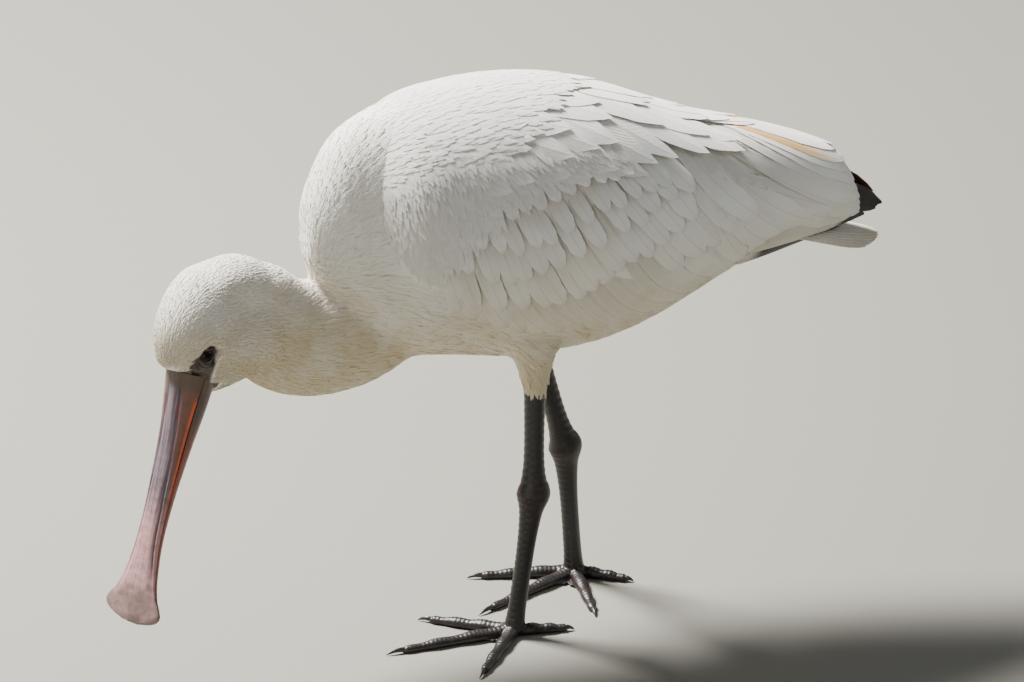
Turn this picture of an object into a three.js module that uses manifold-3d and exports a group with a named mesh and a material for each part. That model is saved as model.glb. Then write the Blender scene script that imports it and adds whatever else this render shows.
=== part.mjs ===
// An immature white spoonbill standing with its bill held down, as a still life-size model.
// Millimetres, +Z up. The bird faces -X, its left side is -Y, and its toes rest on z = 0.

import * as THREE from 'three';
import { ParametricGeometry } from 'three/addons/geometries/ParametricGeometry.js';
import { mergeVertices } from 'three/addons/utils/BufferGeometryUtils.js';
import Module from 'manifold-3d';

const wasm = await Module();
wasm.setup();

// Driving dimensions

const GAP = 0.3;
const SMALLEST_PIECE = 500;
const SEED = 41;

// Trunk stations: x, top z, bottom z, half width
const TRUNK = [
  [-180, 322, 296, 9],
  [-175, 342, 276, 20],
  [-158, 376, 246, 34],
  [-138, 391, 222, 43],
  [-109, 400, 208, 56],
  [-72, 401, 203, 63],
  [-36, 399, 197, 66],
  [0, 394, 197, 66],
  [36, 382, 202, 63],
  [72, 364, 214, 55],
  [108, 345, 231, 44],
  [140, 318, 246, 30],
  [168, 285, 257, 17],
];
const TRUNK_CAP = 1.5;

// Envelope of the folded wings: x, middle z, half height, half width
const FOLDED_WINGS = [
  [-138, 312, 52, 40],
  [-109, 309.4, 95.4, 65],
  [-72, 307, 101.5, 71],
  [-36.6, 304, 105, 74],
  [0, 301, 102.5, 74.5],
  [36, 296.5, 95.5, 72],
  [72, 294, 80, 66],
  [108, 294, 64.8, 57],
  [152, 294.6, 50.3, 43],
  [201, 290.2, 32.3, 26],
  [225, 284, 18, 14],
  [238, 277, 6, 5],
];

// Edges of one folded wing: x, upper edge and lower edge in degrees from the top of the back
const WING_EDGES = [
  [-134, 58, 92],
  [-122, 30, 112],
  [-93, 14, 119],
  [-62, 7, 130],
  [-23, 5, 138],
  [20, 5, 138],
  [55, 5, 133],
  [84, 5, 128],
  [124, 5, 130],
  [170, 6, 130],
  [203, 10, 128],
  [234, 14, 124],
];

const WING_SHELL = { outer: -2.6, depth: 9, ends: [-133, 206], edge: 8, along: 16, around: 8 };

// Feather tracts of one wing, from the deepest layer to the topmost. Tips run from the front of the
// tract to its rear: x, degrees above the lower edge, feather length, and slant from straight back.
const VANE = {
  thickness: 1.1,
  camber: 0.5,
  rows: [0, 0.04, 0.5, 0.87, 1],
  widths: [0, 0.6, 1, 0.72, 0],
};
const TRACTS = {
  primaries: {
    count: 4,
    x: [206, 234],
    above: [6, 40],
    length: [95, 120],
    slant: [8, 2],
    width: 15,
    lift: [-6, -2],
  },
  tertials: {
    count: 4,
    x: [216, 192],
    above: [58, 106],
    length: [110, 120],
    slant: [3, 2],
    width: 25,
    lift: [-6, -0.4],
  },
  secondaries: {
    count: 11,
    x: [-78, 112],
    above: [-1, 1],
    length: [52, 74],
    slant: [62, 26],
    width: 19,
    lift: [-7, -1.2],
  },
  greater: {
    count: 9,
    x: [-92, 82],
    above: [24, 30],
    length: [40, 48],
    slant: [60, 26],
    width: 18,
    lift: [-6, -0.2],
  },
  second: {
    count: 7,
    x: [-100, 58],
    above: [42, 50],
    length: [34, 40],
    slant: [56, 22],
    width: 18,
    lift: [-6, 0.2],
  },
  median: {
    count: 6,
    x: [-106, 34],
    above: [58, 70],
    length: [28, 34],
    slant: [50, 16],
    width: 18,
    lift: [-6, 0.6],
  },
  scapulars: {
    count: 6,
    x: [-8, 70],
    above: [88, 122],
    length: [58, 74],
    slant: [18, 2],
    width: 25,
    lift: [-6, 2],
  },
};
const VARY = { x: 2.5, length: 0.06, slant: 3 };
const VANE_TILT = 0.35;
const FOREMOST_ROOT = -130;

// Neck stations: x, y, z, half depth, half width
const NECK = [
  [-98, 0, 262, 34, 26],
  [-130, 0, 236, 42, 30],
  [-158, -1, 229, 44, 31],
  [-184, -3, 231, 43, 30],
  [-205, -6, 243, 44, 28],
  [-222, -9, 264, 35.5, 25.5],
  [-244, -14, 264, 23, 17],
];

// The head is turned to the bird's left and the bill leans forward from the vertical
const HEAD_TURN = THREE.MathUtils.degToRad(27);
const BILL_LEAN = THREE.MathUtils.degToRad(19);
const BILL_BASE = new THREE.Vector3(-269, -23, 221.6);

// Head stations: distance up from the bill, towards the forehead, half depth, half width
const HEAD = [
  [-1, 0, 15, 14.5],
  [9, -4, 27.5, 20],
  [22, -1, 33, 25.5],
  [36, 0, 36, 28.5],
  [50, -5, 36, 29],
  [64, -12, 31, 26],
  [75, -17, 20, 17.5],
  [80, -18, 8, 7],
];

const EYE = { up: 22, forward: 9, out: 17, radius: 7 };
const LIDS = { thickness: 1.2, slit: [6.21, 9, 5.4], slitBeyondEye: 3 };

// Bill stations: distance from the feathers, half width, depth above and below the gape
const BILL = [
  [-6, 15.5, 15, 20],
  [22, 12.8, 10.2, 18.4],
  [46, 11.2, 7.4, 14.6],
  [88, 10, 5.6, 8.8],
  [118, 10.6, 5.2, 6.8],
  [141, 14.4, 4.6, 6],
  [154, 19, 4, 4.8],
  [164, 25.5, 3.6, 3.6],
  [169, 24, 3.2, 2.8],
  [172.5, 17.5, 2.6, 2.2],
  [175, 8, 1.8, 1.6],
];

const BILL_BOXINESS = 0.75;
const GAPE_WIDTH = 0.94;
const BILL_GROOVE = { at: 0.6, width: 0.15, share: 0.86 };
const NOSTRIL = { down: 19, forward: 9.2, out: 6.6, size: [2.2, 1.3, 6] };

// Legs: the middles of hip, cuff, ankle and sole, and toe directions from straight ahead in degrees
// towards the bird's left
const LEGS = {
  left: {
    hip: [-22, -33, 222],
    cuff: [-22.5, -34, 178],
    ankle: [-24, -36, 104],
    sole: [-40, -40, 0],
    toes: { middle: 3, outer: 54, inner: -37, hind: 172 },
  },
  right: {
    hip: [-10, 30, 222],
    cuff: [2, 30, 172],
    ankle: [21, 31, 104],
    sole: [30, 38, 0],
    toes: { middle: 27, outer: -13, inner: 84, hind: 146 },
  },
};
const TOE_LENGTHS = { middle: 94, outer: 75, inner: 70, hind: 43 };
const TOE_RADIUS = 4.3;

// Toe stations: share of the length, then half depth and half width in toe radii
const TOE = [
  [0, 1.15, 1.3],
  [0.18, 0.95, 1.05],
  [0.32, 1, 1.1],
  [0.45, 0.82, 0.88],
  [0.6, 0.86, 0.95],
  [0.72, 0.66, 0.7],
  [0.82, 0.66, 0.72],
  [0.88, 0.45, 0.46],
  [0.95, 0.3, 0.28],
  [1, 0.12, 0.12],
];
const TOE_FLATNESS = 0.82;
const CLAW_HEIGHT = 0.7;
const WEB = { edge: 0.42, notch: 0.2, low: 1.2, thickness: 1.6 };

// Half depth and half width of the feathered thigh at hip, middle and cuff
const THIGH = [
  [21, 15],
  [19.32, 14.25],
  [12.5, 10.5],
];

// Bare leg stations: share of the way from cuff to ankle or ankle to sole, half depth, half width
const SHIN = [
  [-0.05, 7.6, 7],
  [0.55, 7.068, 6.65],
  [0.83, 8.74, 7],
];
const TARSUS = [
  [0, 12, 8.8],
  [0.14, 8.19, 6.44],
  [0.4, 6.3, 5.6],
  [0.8, 6.3, 5.6],
  [0.97, 7.875, 7.56],
];
const JOINT_HEIGHTS = { aboveAnkle: 11, foot: 12 };

const TAIL = {
  root: 136,
  tip: 238,
  heights: [269, 254],
  arch: 0.007,
  feathers: 9,
  step: 1.4,
  spacing: [2.4, 5.4],
  taper: 0.9,
  width: 20,
};

// Planes that part the flesh: a point on each, and the direction towards the bill
const PARTINGS = {
  collar: { at: [-130, 0, 296], facing: [-0.988, 0, -0.154] },
  bend: { at: [-183, 0, 272], facing: [-0.9, 0, -0.44] },
  nape: { at: [-222, -9, 255], facing: [-0.94, -0.25, 0.1] },
  rump: { at: [128, 0, 280], facing: [-1, 0, 0] },
};

// Colours and surfaces

const FINISHES = {
  plumage: { color: 0xe9e2d3, roughness: 0.85 },
  feather: { color: 0xf1eee6, roughness: 0.75 },
  bill: { color: 0x8c6a70, roughness: 0.5 },
  gape: { color: 0xa8503c, roughness: 0.5 },
  eye: { color: 0x14100d, roughness: 0.1 },
  leg: { color: 0x23201e, roughness: 0.6 },
};

// Solids

function solidOf(geometry) {
  geometry.deleteAttribute('normal');
  geometry.deleteAttribute('uv');
  const merged = mergeVertices(geometry, 1e-4);
  const corners = [];
  for (let i = 0; i < merged.index.count; i += 3) {
    const [a, b, c] = [0, 1, 2].map((k) => merged.index.getX(i + k));
    if (a !== b && b !== c && c !== a) corners.push(a, b, c);
  }
  const vertProperties = new Float32Array(merged.attributes.position.array);
  const build = (list) => {
    const triVerts = new Uint32Array(list);
    return new wasm.Manifold(new wasm.Mesh({ numProp: 3, vertProperties, triVerts }));
  };
  const solid = build(corners);
  if (solid.volume() > 0) return solid;
  for (let i = 0; i < corners.length; i += 3) {
    [corners[i], corners[i + 1]] = [corners[i + 1], corners[i]];
  }
  return build(corners);
}

function largest(solid) {
  return solid.decompose().reduce((best, piece) => (piece.volume() > best.volume() ? piece : best));
}

function geometryOf(solid) {
  const mesh = solid.getMesh();
  const geometry = new THREE.BufferGeometry();
  const positions = new Float32Array(mesh.vertProperties);
  geometry.setAttribute('position', new THREE.BufferAttribute(positions, 3));
  geometry.setIndex(new THREE.BufferAttribute(new Uint32Array(mesh.triVerts), 1));
  return geometry;
}

function track(stations) {
  const size = stations[0].length - 1;
  const places = new Float32Array(stations.map((station) => station[0]));
  const values = new Float32Array(stations.flatMap((station) => station.slice(1)));
  const curve = new THREE.CubicInterpolant(places, values, size, new Float32Array(size));
  return (place) => {
    const held = THREE.MathUtils.clamp(place, places[0], places.at(-1));
    return Array.from(curve.evaluate(held));
  };
}

const round = (angle) => [Math.cos(angle), Math.sin(angle)];

// A closed body along stations of x, y, z, half depth and half width, with flat ends
function limb(
  stations,
  { across = [0, -1, 0], around = 16, along = 12, section = round, grow = 0 } = {},
) {
  const points = stations.map(([x, y, z]) => new THREE.Vector3(x, y, z));
  const spine = new THREE.CatmullRomCurve3(points, false, 'catmullrom', 0.5);
  const sizes = track(stations.map((station, index) => [index, station[3], station[4]]));
  const side = new THREE.Vector3(...across);
  const rings = along - 2;
  return new ParametricGeometry(
    (u, v, target) => {
      const row = Math.round(v * along);
      const t = THREE.MathUtils.clamp((row - 1) / rings, 0, 1);
      const tangent = spine.getTangent(t);
      const left = side.clone().addScaledVector(tangent, -side.dot(tangent)).normalize();
      const back = new THREE.Vector3().crossVectors(left, tangent);
      spine.getPoint(t, target);
      if (row === 0) target.addScaledVector(tangent, -grow);
      if (row === along) target.addScaledVector(tangent, grow);
      if (row === 0 || row === along) return;
      const [depth, width] = sizes(t * (stations.length - 1));
      const angle = (Math.round(u * around) % around) * ((2 * Math.PI) / around);
      const [w, d] = section(angle, depth);
      target.addScaledVector(left, w * (width + grow)).addScaledVector(back, d * (depth + grow));
    },
    around,
    along,
  );
}

// Trunk

function trunk(grow) {
  const sizes = track(
    TRUNK.map(([x, top, bottom, width]) => [x, (top + bottom) / 2, (top - bottom) / 2, width]),
  );
  const along = 20;
  const around = 20;
  const [front, rear] = [TRUNK[0][0], TRUNK.at(-1)[0]];
  return solidOf(
    new ParametricGeometry(
      (u, v, target) => {
        const row = Math.round(v * along);
        const share = THREE.MathUtils.clamp((row - 1) / (along - 2), 0, 1);
        const x = THREE.MathUtils.lerp(front, rear, share);
        const [z, depth, width] = sizes(x);
        if (row === 0 || row === along) {
          target.set(row === 0 ? front - TRUNK_CAP - grow : rear + TRUNK_CAP + grow, 0, z);
          return;
        }
        const angle = (Math.round(u * around) % around) * ((2 * Math.PI) / around);
        target.set(x, (width + grow) * Math.sin(angle), z + (depth + grow) * Math.cos(angle));
      },
      around,
      along,
    ),
  );
}

// Head frame: towards the face, towards the bird's left, and along the bill's line to the crown
const facing = new THREE.Vector3(-Math.cos(HEAD_TURN), -Math.sin(HEAD_TURN), 0);
const headLeft = new THREE.Vector3(Math.sin(HEAD_TURN), -Math.cos(HEAD_TURN), 0);
const upright = new THREE.Vector3(0, 0, 1);
const headUp = upright.clone().multiplyScalar(Math.cos(BILL_LEAN));
headUp.addScaledVector(facing, -Math.sin(BILL_LEAN));
const headFront = upright.clone().multiplyScalar(Math.sin(BILL_LEAN));
headFront.addScaledVector(facing, Math.cos(BILL_LEAN));

function headPoint(up, forward, out) {
  return BILL_BASE.clone()
    .addScaledVector(headUp, up)
    .addScaledVector(headFront, forward)
    .addScaledVector(headLeft, out);
}

function headMass(grow = 0) {
  const stations = HEAD.map(([up, forward, depth, width]) => {
    const { x, y, z } = headPoint(up, forward, 0);
    return [x, y, z, depth, width];
  });
  return solidOf(limb(stations, { across: headLeft.toArray(), around: 18, along: 12, grow }));
}

function ball(center, radius, detail = [10, 8]) {
  const geometry = new THREE.SphereGeometry(radius, ...detail);
  geometry.translate(center.x, center.y, center.z);
  return solidOf(geometry);
}

function flesh() {
  const neck = solidOf(limb(NECK, { around: 18, along: 10 }));
  return trunk(0).add(neck).add(headMass());
}

function slab({ at, facing: direction }) {
  const normal = new THREE.Vector3(...direction).normalize();
  const geometry = new THREE.BoxGeometry(700, 700, GAP);
  geometry.applyQuaternion(new THREE.Quaternion().setFromUnitVectors(upright, normal));
  geometry.translate(...at);
  return solidOf(geometry);
}

function partedFlesh() {
  const cuts = Object.values(PARTINGS).map(slab);
  const whole = cuts.reduce((body, cut) => body.subtract(cut), flesh());
  const pieces = whole.decompose().filter((piece) => piece.volume() > SMALLEST_PIECE);
  const middle = (piece) => {
    const { min, max } = piece.boundingBox();
    return (min[0] + max[0]) / 2;
  };
  pieces.sort((a, b) => middle(a) - middle(b));
  const [head, neckUpper, neckLower, torso, rump] = pieces;
  return { head, neckUpper, neckLower, torso, rump };
}

// Eyes and lids

function eyeCenter(side) {
  return headPoint(EYE.up, EYE.forward, side * EYE.out);
}

function lids(head, side) {
  const center = eyeCenter(side);
  const shell = ball(center, EYE.radius + GAP + LIDS.thickness);
  const out = EYE.out + EYE.radius + LIDS.slitBeyondEye;
  const slit = new THREE.SphereGeometry(1, 10, 6);
  slit.scale(...LIDS.slit);
  slit.applyMatrix4(headFrame(EYE.up, EYE.forward, side * out));
  return head.add(shell).subtract(ball(center, EYE.radius + GAP)).subtract(solidOf(slit));
}

// Bill

function headFrame(up, forward, out) {
  const basis = new THREE.Matrix4().makeBasis(headFront, headLeft, headUp);
  return basis.setPosition(headPoint(up, forward, out));
}

function nostril(side) {
  const { down, forward, out, size } = NOSTRIL;
  const slit = new THREE.SphereGeometry(1, 8, 6);
  slit.scale(...size);
  slit.applyMatrix4(headFrame(-down, forward, side * out));
  return solidOf(slit);
}

function mandible(upper) {
  const outwards = upper ? -1 : 1;
  const stations = BILL.map(([down, width, above, below]) => {
    const { x, y, z } = headPoint(-down, 0, 0);
    return [x, y, z, upper ? above : below, width];
  });
  const boxy = (value) => Math.sign(value) * Math.abs(value) ** BILL_BOXINESS;
  const section = (angle, depth) => {
    const [w, d] = [boxy(Math.cos(angle)), boxy(Math.sin(angle)) * outwards];
    if (d < 0.01) return [w * GAPE_WIDTH, (outwards * GAP) / (2 * depth)];
    const grooved = upper && Math.abs(Math.abs(w) - BILL_GROOVE.at) < BILL_GROOVE.width;
    return [w, outwards * d * (grooved ? BILL_GROOVE.share : 1)];
  };
  const form = limb(stations, { across: headLeft.toArray(), around: 12, along: 18, section });
  const cuts = upper ? [1, -1].map(nostril) : [];
  return largest([headMass(GAP), ...cuts].reduce((bill, cut) => bill.subtract(cut), solidOf(form)));
}

// Folded wings

const wingSizes = track(FOLDED_WINGS);
const wingEdges = track(WING_EDGES);

function wingPoint(side, x, degrees, height, target) {
  const [z, halfHeight, halfWidth] = wingSizes(x);
  const angle = THREE.MathUtils.degToRad(degrees);
  const y = -side * (halfWidth + height) * Math.sin(angle);
  return target.set(x, y, z + (halfHeight + height) * Math.cos(angle));
}

function wingShell(side) {
  const { outer, depth, ends, edge, along, around } = WING_SHELL;
  const half = around + 1;
  const ring = half * 2;
  return solidOf(
    new ParametricGeometry(
      (u, v, target) => {
        const row = Math.round(v * along);
        const slot = Math.round(u * ring) % ring;
        const x = THREE.MathUtils.lerp(...ends, row / along);
        const [upperEdge, lowerEdge] = wingEdges(x);
        const across = slot < half ? slot / around : (ring - 1 - slot) / around;
        const degrees = THREE.MathUtils.lerp(upperEdge, lowerEdge - edge, across);
        const closed = row === 0 || row === along;
        const inner = outer - Math.min(depth, 0.5 * wingSizes(x)[2]);
        wingPoint(side, x, degrees, closed || slot < half ? outer : inner, target);
      },
      ring,
      along,
    ),
  );
}

// One feather as a thin tapered vane on a curved surface. A place on it is an x, a second
// coordinate that counts `reach` millimetres a unit, and a height above it.
function vane(surface, { root, tip, width, lift, tilt = 0, reach = 1 }) {
  const { thickness, camber, rows, widths } = VANE;
  const run = new THREE.Vector2(tip[0] - root[0], (tip[1] - root[1]) * reach).normalize();
  const sides = [-1, 0, 1, 1, 0, -1];
  const along = rows.length - 1;
  const geometry = new ParametricGeometry(
    (u, v, target) => {
      const row = Math.round(v * along);
      const slot = Math.round(u * sides.length) % sides.length;
      const share = rows[row];
      const middle = row === 0 || row === along;
      const side = middle ? 0 : sides[slot];
      const offset = side * width * 0.5 * widths[row];
      const x = THREE.MathUtils.lerp(root[0], tip[0], share) - run.y * offset;
      const across = THREE.MathUtils.lerp(root[1], tip[1], share) + (run.x * offset) / reach;
      const below = middle ? 0.5 : Number(slot >= sides.length / 2);
      const crown = middle ? camber : camber * (1 - Math.abs(side));
      const height = THREE.MathUtils.lerp(...lift, share) + tilt * side + crown - below * thickness;
      surface(x, across, height, target);
    },
    sides.length,
    along,
  );
  turnLowerDiagonals(geometry, sides.length, along);
  return solidOf(geometry);
}

// The quads of a vane's lower face take the same diagonals as those above them
function turnLowerDiagonals(geometry, around, along) {
  const index = geometry.index;
  for (let row = 0; row < along; row += 1) {
    for (let slot = around / 2; slot < around - 1; slot += 1) {
      const start = (row * around + slot) * 6;
      const a = row * (around + 1) + slot;
      const corners = [a, a + 1, a + around + 2, a, a + around + 2, a + around + 1];
      corners.forEach((corner, k) => index.setX(start + k, corner));
    }
  }
}

function seededRandom(seed) {
  let state = seed;
  return () => {
    state = (state * 1664525 + 1013904223) % 4294967296;
    return state / 4294967296;
  };
}

function tractVanes(side, tract, random) {
  const { count, x, above, length, slant, width, lift } = tract;
  const vary = (amount) => amount * (2 * random() - 1);
  return Array.from({ length: count }, (unused, index) => {
    const share = count > 1 ? index / (count - 1) : 0;
    const spread = ([from, to]) => THREE.MathUtils.lerp(from, to, share);
    const tipX = spread(x) + vary(VARY.x);
    const [, halfHeight, halfWidth] = wingSizes(tipX);
    const reach = THREE.MathUtils.degToRad((halfHeight + halfWidth) / 2);
    const tipAcross = wingEdges(tipX)[1] - spread(above);
    const run = THREE.MathUtils.degToRad(spread(slant) + vary(VARY.slant));
    const size = spread(length) * (1 + vary(VARY.length));
    const rootX = Math.max(tipX - size * Math.cos(run), FOREMOST_ROOT);
    const root = [rootX, tipAcross - (size * Math.sin(run)) / reach];
    const surface = (...place) => wingPoint(side, ...place);
    return vane(surface, { root, tip: [tipX, tipAcross], width, lift, reach, tilt: VANE_TILT });
  });
}

function wing(side) {
  const random = seededRandom(SEED + side);
  const middle = new THREE.BoxGeometry(700, 2 * GAP, 700);
  middle.translate(0, 0, 300);
  const vanes = Object.values(TRACTS).flatMap((tract) => tractVanes(side, tract, random));
  const whole = vanes.reduce((solid, feather) => solid.add(feather), wingShell(side));
  return largest(whole.subtract(trunk(GAP)).subtract(solidOf(middle)));
}

// Tail

function tailPoint(x, y, height, target) {
  const { root, tip, heights, arch } = TAIL;
  const share = (x - root) / (tip - root);
  return target.set(x, y, THREE.MathUtils.lerp(...heights, share) - arch * y * y + height);
}

function tail(rump) {
  const { root, tip, feathers, step, spacing, taper, width } = TAIL;
  const middle = (feathers - 1) / 2;
  const vanes = Array.from({ length: feathers }, (unused, index) => {
    const place = index - middle;
    const level = -step * Math.abs(place) - (place > 0 ? step / 2 : 0);
    return vane(tailPoint, {
      root: [root, place * spacing[0]],
      tip: [tip - taper * place * place, place * spacing[1]],
      width,
      lift: [level, level],
    });
  });
  return largest(vanes.reduce((solid, feather) => solid.add(feather), rump));
}

// Legs

function block(from, to) {
  const size = new THREE.Vector3().subVectors(to, from);
  const geometry = new THREE.BoxGeometry(size.x, size.y, size.z);
  geometry.translate(...from.clone().add(to).multiplyScalar(0.5).toArray());
  return solidOf(geometry);
}

const layer = (low, high) =>
  block(new THREE.Vector3(-400, -400, low), new THREE.Vector3(400, 400, high));

const between = (a, b, share) => a.map((value, axis) => THREE.MathUtils.lerp(value, b[axis], share));

function thigh({ hip, cuff }) {
  const stations = [0, 0.5, 1.05].map((share, k) => [...between(hip, cuff, share), ...THIGH[k]]);
  const solid = solidOf(limb(stations, { around: 14, along: 8 }));
  return largest(solid.subtract(trunk(GAP)).intersect(layer(cuff[2], hip[2] + 20)));
}

function shank({ cuff, ankle, sole }) {
  const stations = [
    ...SHIN.map(([share, ...size]) => [...between(cuff, ankle, share), ...size]),
    ...TARSUS.map(([share, ...size]) => [...between(ankle, sole, share), ...size]),
  ];
  return solidOf(limb(stations, { around: 10, along: 14 }));
}

const heading = (degrees) => {
  const angle = THREE.MathUtils.degToRad(degrees);
  return new THREE.Vector3(-Math.cos(angle), -Math.sin(angle), 0);
};

function toe(sole, degrees, length) {
  const ahead = heading(degrees);
  const stations = TOE.map(([share, depth, width]) => {
    const place = new THREE.Vector3(...sole).addScaledVector(ahead, share * length);
    place.setZ(Math.max(depth * TOE_RADIUS * TOE_FLATNESS, CLAW_HEIGHT));
    return [...place.toArray(), depth * TOE_RADIUS, width * TOE_RADIUS];
  });
  const across = heading(degrees + 90).toArray();
  return solidOf(limb(stations, { across, around: 6, along: 9 }));
}

function web(sole, from, to, length) {
  const { edge, notch, low, thickness } = WEB;
  const reach = (degrees, share) => heading(degrees).multiplyScalar(length * share);
  const [first, last] = [reach(from, edge), reach(to, edge)];
  const middle = reach((from + to) / 2, notch);
  const shape = new THREE.Shape();
  shape.moveTo(0, 0);
  shape.lineTo(first.x, first.y);
  shape.quadraticCurveTo(middle.x, middle.y, last.x, last.y);
  shape.lineTo(0, 0);
  const form = { depth: thickness, bevelEnabled: false, curveSegments: 3 };
  const geometry = new THREE.ExtrudeGeometry(shape, form);
  geometry.translate(sole[0], sole[1], low);
  return solidOf(geometry);
}

function foot({ sole, toes }) {
  const { middle, outer, inner } = toes;
  const parts = Object.entries(toes).map(([name, degrees]) =>
    toe(sole, degrees, TOE_LENGTHS[name]),
  );
  const webs = [outer, inner].map((degrees) => web(sole, middle, degrees, TOE_LENGTHS.inner));
  return [...parts, ...webs].reduce((whole, part) => whole.add(part));
}

function legParts(leg) {
  const { cuff, ankle } = leg;
  const whole = shank(leg);
  const top = ankle[2] + JOINT_HEIGHTS.aboveAnkle;
  const low = JOINT_HEIGHTS.foot;
  return {
    thigh: thigh(leg),
    tibia: largest(whole.intersect(layer(top + GAP, cuff[2] - GAP))),
    tarsus: largest(whole.intersect(layer(low + GAP, top))),
    foot: largest(whole.add(foot(leg)).intersect(layer(0, low))),
  };
}

// Parts of the model

const group = new THREE.Group();

function addPart(name, finish, solid) {
  const material = new THREE.MeshStandardMaterial({ ...FINISHES[finish], metalness: 0 });
  const mesh = new THREE.Mesh(geometryOf(solid), material);
  mesh.name = name;
  group.add(mesh);
}

function buildFlesh() {
  const { head, neckUpper, neckLower, torso, rump } = partedFlesh();
  addPart('head', 'plumage', largest([1, -1].reduce(lids, head)));
  addPart('neck_upper', 'plumage', neckUpper);
  addPart('neck_lower', 'plumage', neckLower);
  addPart('torso', 'plumage', torso);
  return rump;
}

function buildHeadParts() {
  addPart('bill_upper', 'bill', mandible(true));
  addPart('bill_lower', 'gape', mandible(false));
  for (const [name, side] of [['left', 1], ['right', -1]]) {
    addPart(`${name}_eye`, 'eye', ball(eyeCenter(side), EYE.radius));
  }
}

function buildLegs() {
  for (const [side, leg] of Object.entries(LEGS)) {
    const parts = legParts(leg);
    addPart(`${side}_thigh`, 'plumage', parts.thigh);
    addPart(`${side}_tibia`, 'leg', parts.tibia);
    addPart(`${side}_tarsus`, 'leg', parts.tarsus);
    addPart(`${side}_foot`, 'leg', parts.foot);
  }
}

const rump = buildFlesh();
buildHeadParts();
buildLegs();
addPart('tail', 'feather', tail(rump));
addPart('left_wing', 'feather', wing(1));
addPart('right_wing', 'feather', wing(-1));

const bounds = new THREE.Box3().setFromObject(group);
const center = bounds.getCenter(new THREE.Vector3());
group.position.set(-center.x, -center.y, -bounds.min.z);

export default group;
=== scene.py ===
"""A young white spoonbill, standing with its bill held down, dressed as a life-size museum model.

Lengths are millimetres in the bird's own frame: it faces -X, its left side is -Y, +Z is up and its
soles are at zero. Meshes are written in metres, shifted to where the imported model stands.
"""
import logging
import math
from dataclasses import dataclass, field
from enum import Enum

import bpy
import numpy as np
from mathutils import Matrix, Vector
from mathutils.bvhtree import BVHTree


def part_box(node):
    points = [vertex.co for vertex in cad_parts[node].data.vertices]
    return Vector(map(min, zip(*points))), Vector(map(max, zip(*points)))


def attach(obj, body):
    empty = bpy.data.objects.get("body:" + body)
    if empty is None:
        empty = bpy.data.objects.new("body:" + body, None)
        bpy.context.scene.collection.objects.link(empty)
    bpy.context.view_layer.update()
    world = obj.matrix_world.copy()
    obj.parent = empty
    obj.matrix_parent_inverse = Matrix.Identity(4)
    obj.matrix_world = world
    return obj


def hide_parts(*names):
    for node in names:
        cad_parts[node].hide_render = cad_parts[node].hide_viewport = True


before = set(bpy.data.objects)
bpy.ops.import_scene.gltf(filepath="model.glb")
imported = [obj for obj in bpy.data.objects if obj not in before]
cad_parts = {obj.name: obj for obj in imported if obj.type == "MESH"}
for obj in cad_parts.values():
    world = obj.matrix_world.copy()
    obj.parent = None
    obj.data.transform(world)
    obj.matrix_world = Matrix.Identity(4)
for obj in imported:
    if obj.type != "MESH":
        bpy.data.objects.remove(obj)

log = logging.getLogger("spoonbill")
Array = np.ndarray
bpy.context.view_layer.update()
MM = 0.001
SEED = 41


# Places and shapes of the bird. Trunk, neck, head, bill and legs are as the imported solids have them.
# The folded wings lie a few millimetres lower in front and end blunter than the solids', and NAPE,
# CHEEKS and CHIN fill the creases of the bent neck, to meet the photograph's outline.

TRUNK = np.array([
    (-180, 322, 296, 9), (-175, 342, 276, 20), (-158, 376, 246, 34), (-138, 391, 222, 43),
    (-109, 400, 208, 56), (-72, 401, 203, 63), (-36, 399, 197, 66), (0, 394, 197, 66),
    (36, 382, 202, 63), (72, 364, 214, 55), (108, 345, 231, 44), (140, 318, 246, 30), (168, 285, 257, 17),
], float)
FOLDED_WINGS = np.array([
    (-138, 312, 70, 40), (-109, 309.4, 89.5, 64), (-72, 307, 98.5, 71), (-36.6, 304, 102, 74),
    (0, 301, 100, 74.5), (36, 296.5, 94, 72), (72, 294, 80, 66), (108, 294, 64.8, 57),
    (152, 294.6, 50.3, 43), (201, 290.2, 32.3, 26), (225, 283.5, 19, 14.5), (238, 276.5, 11.5, 7.5),
], float)
WING_EDGES = np.array([
    (-134, 58, 92), (-122, 30, 112), (-93, 14, 119), (-62, 7, 130), (-23, 5, 138), (20, 5, 138),
    (55, 5, 133), (84, 5, 128), (124, 5, 130), (170, 6, 130), (203, 10, 128), (234, 14, 124),
], float)
NECK = np.array([
    (-98, 0, 262, 34, 26), (-130, 0, 236, 42, 30), (-158, -1, 229, 44, 31), (-184, -3, 231, 43, 30),
    (-204, -6, 245, 41.5, 28), (-221, -9, 264, 34.5, 25.5), (-244, -14, 264, 23, 17),
], float)
NAPE = np.array([(-214, -10, 270, 20, 20), (-231, -12, 281, 22.5, 22), (-250, -17, 283, 20, 20)], float)
CHEEKS = np.array([
    (-257, -17, 249, 27, 26), (-243, -14, 250, 30, 28.5), (-230, -11, 250, 30, 28.5), (-210, -7, 248, 33, 28),
], float)
CHIN = np.array([(-256, -17, 217, 11, 12), (-241, -12, 221, 12, 18), (-228, -9, 226, 12, 22)], float)
HEAD = np.array([
    (-1, 0, 15, 14.5), (9, -4, 27.5, 20), (22, -1, 33, 25.5), (36, 0, 36, 28.5), (50, -5, 36, 29),
    (64, -12, 31, 26), (75, -17, 20, 17.5), (80, -18, 8, 7),
], float)
BILL = np.array([
    (-6, 15.5, 15, 20), (22, 12.8, 10.2, 18.4), (46, 11.2, 7.4, 14.6), (88, 10, 5.6, 8.8),
    (118, 10.6, 5.2, 6.8), (141, 14.4, 4.6, 6), (154, 19, 4, 4.8), (164, 25.5, 3.6, 3.6),
    (169, 24, 3.2, 2.8), (172.5, 17.5, 2.6, 2.2), (175, 8, 1.8, 1.6),
], float)
BILL_LENGTH = 175.0
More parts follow.
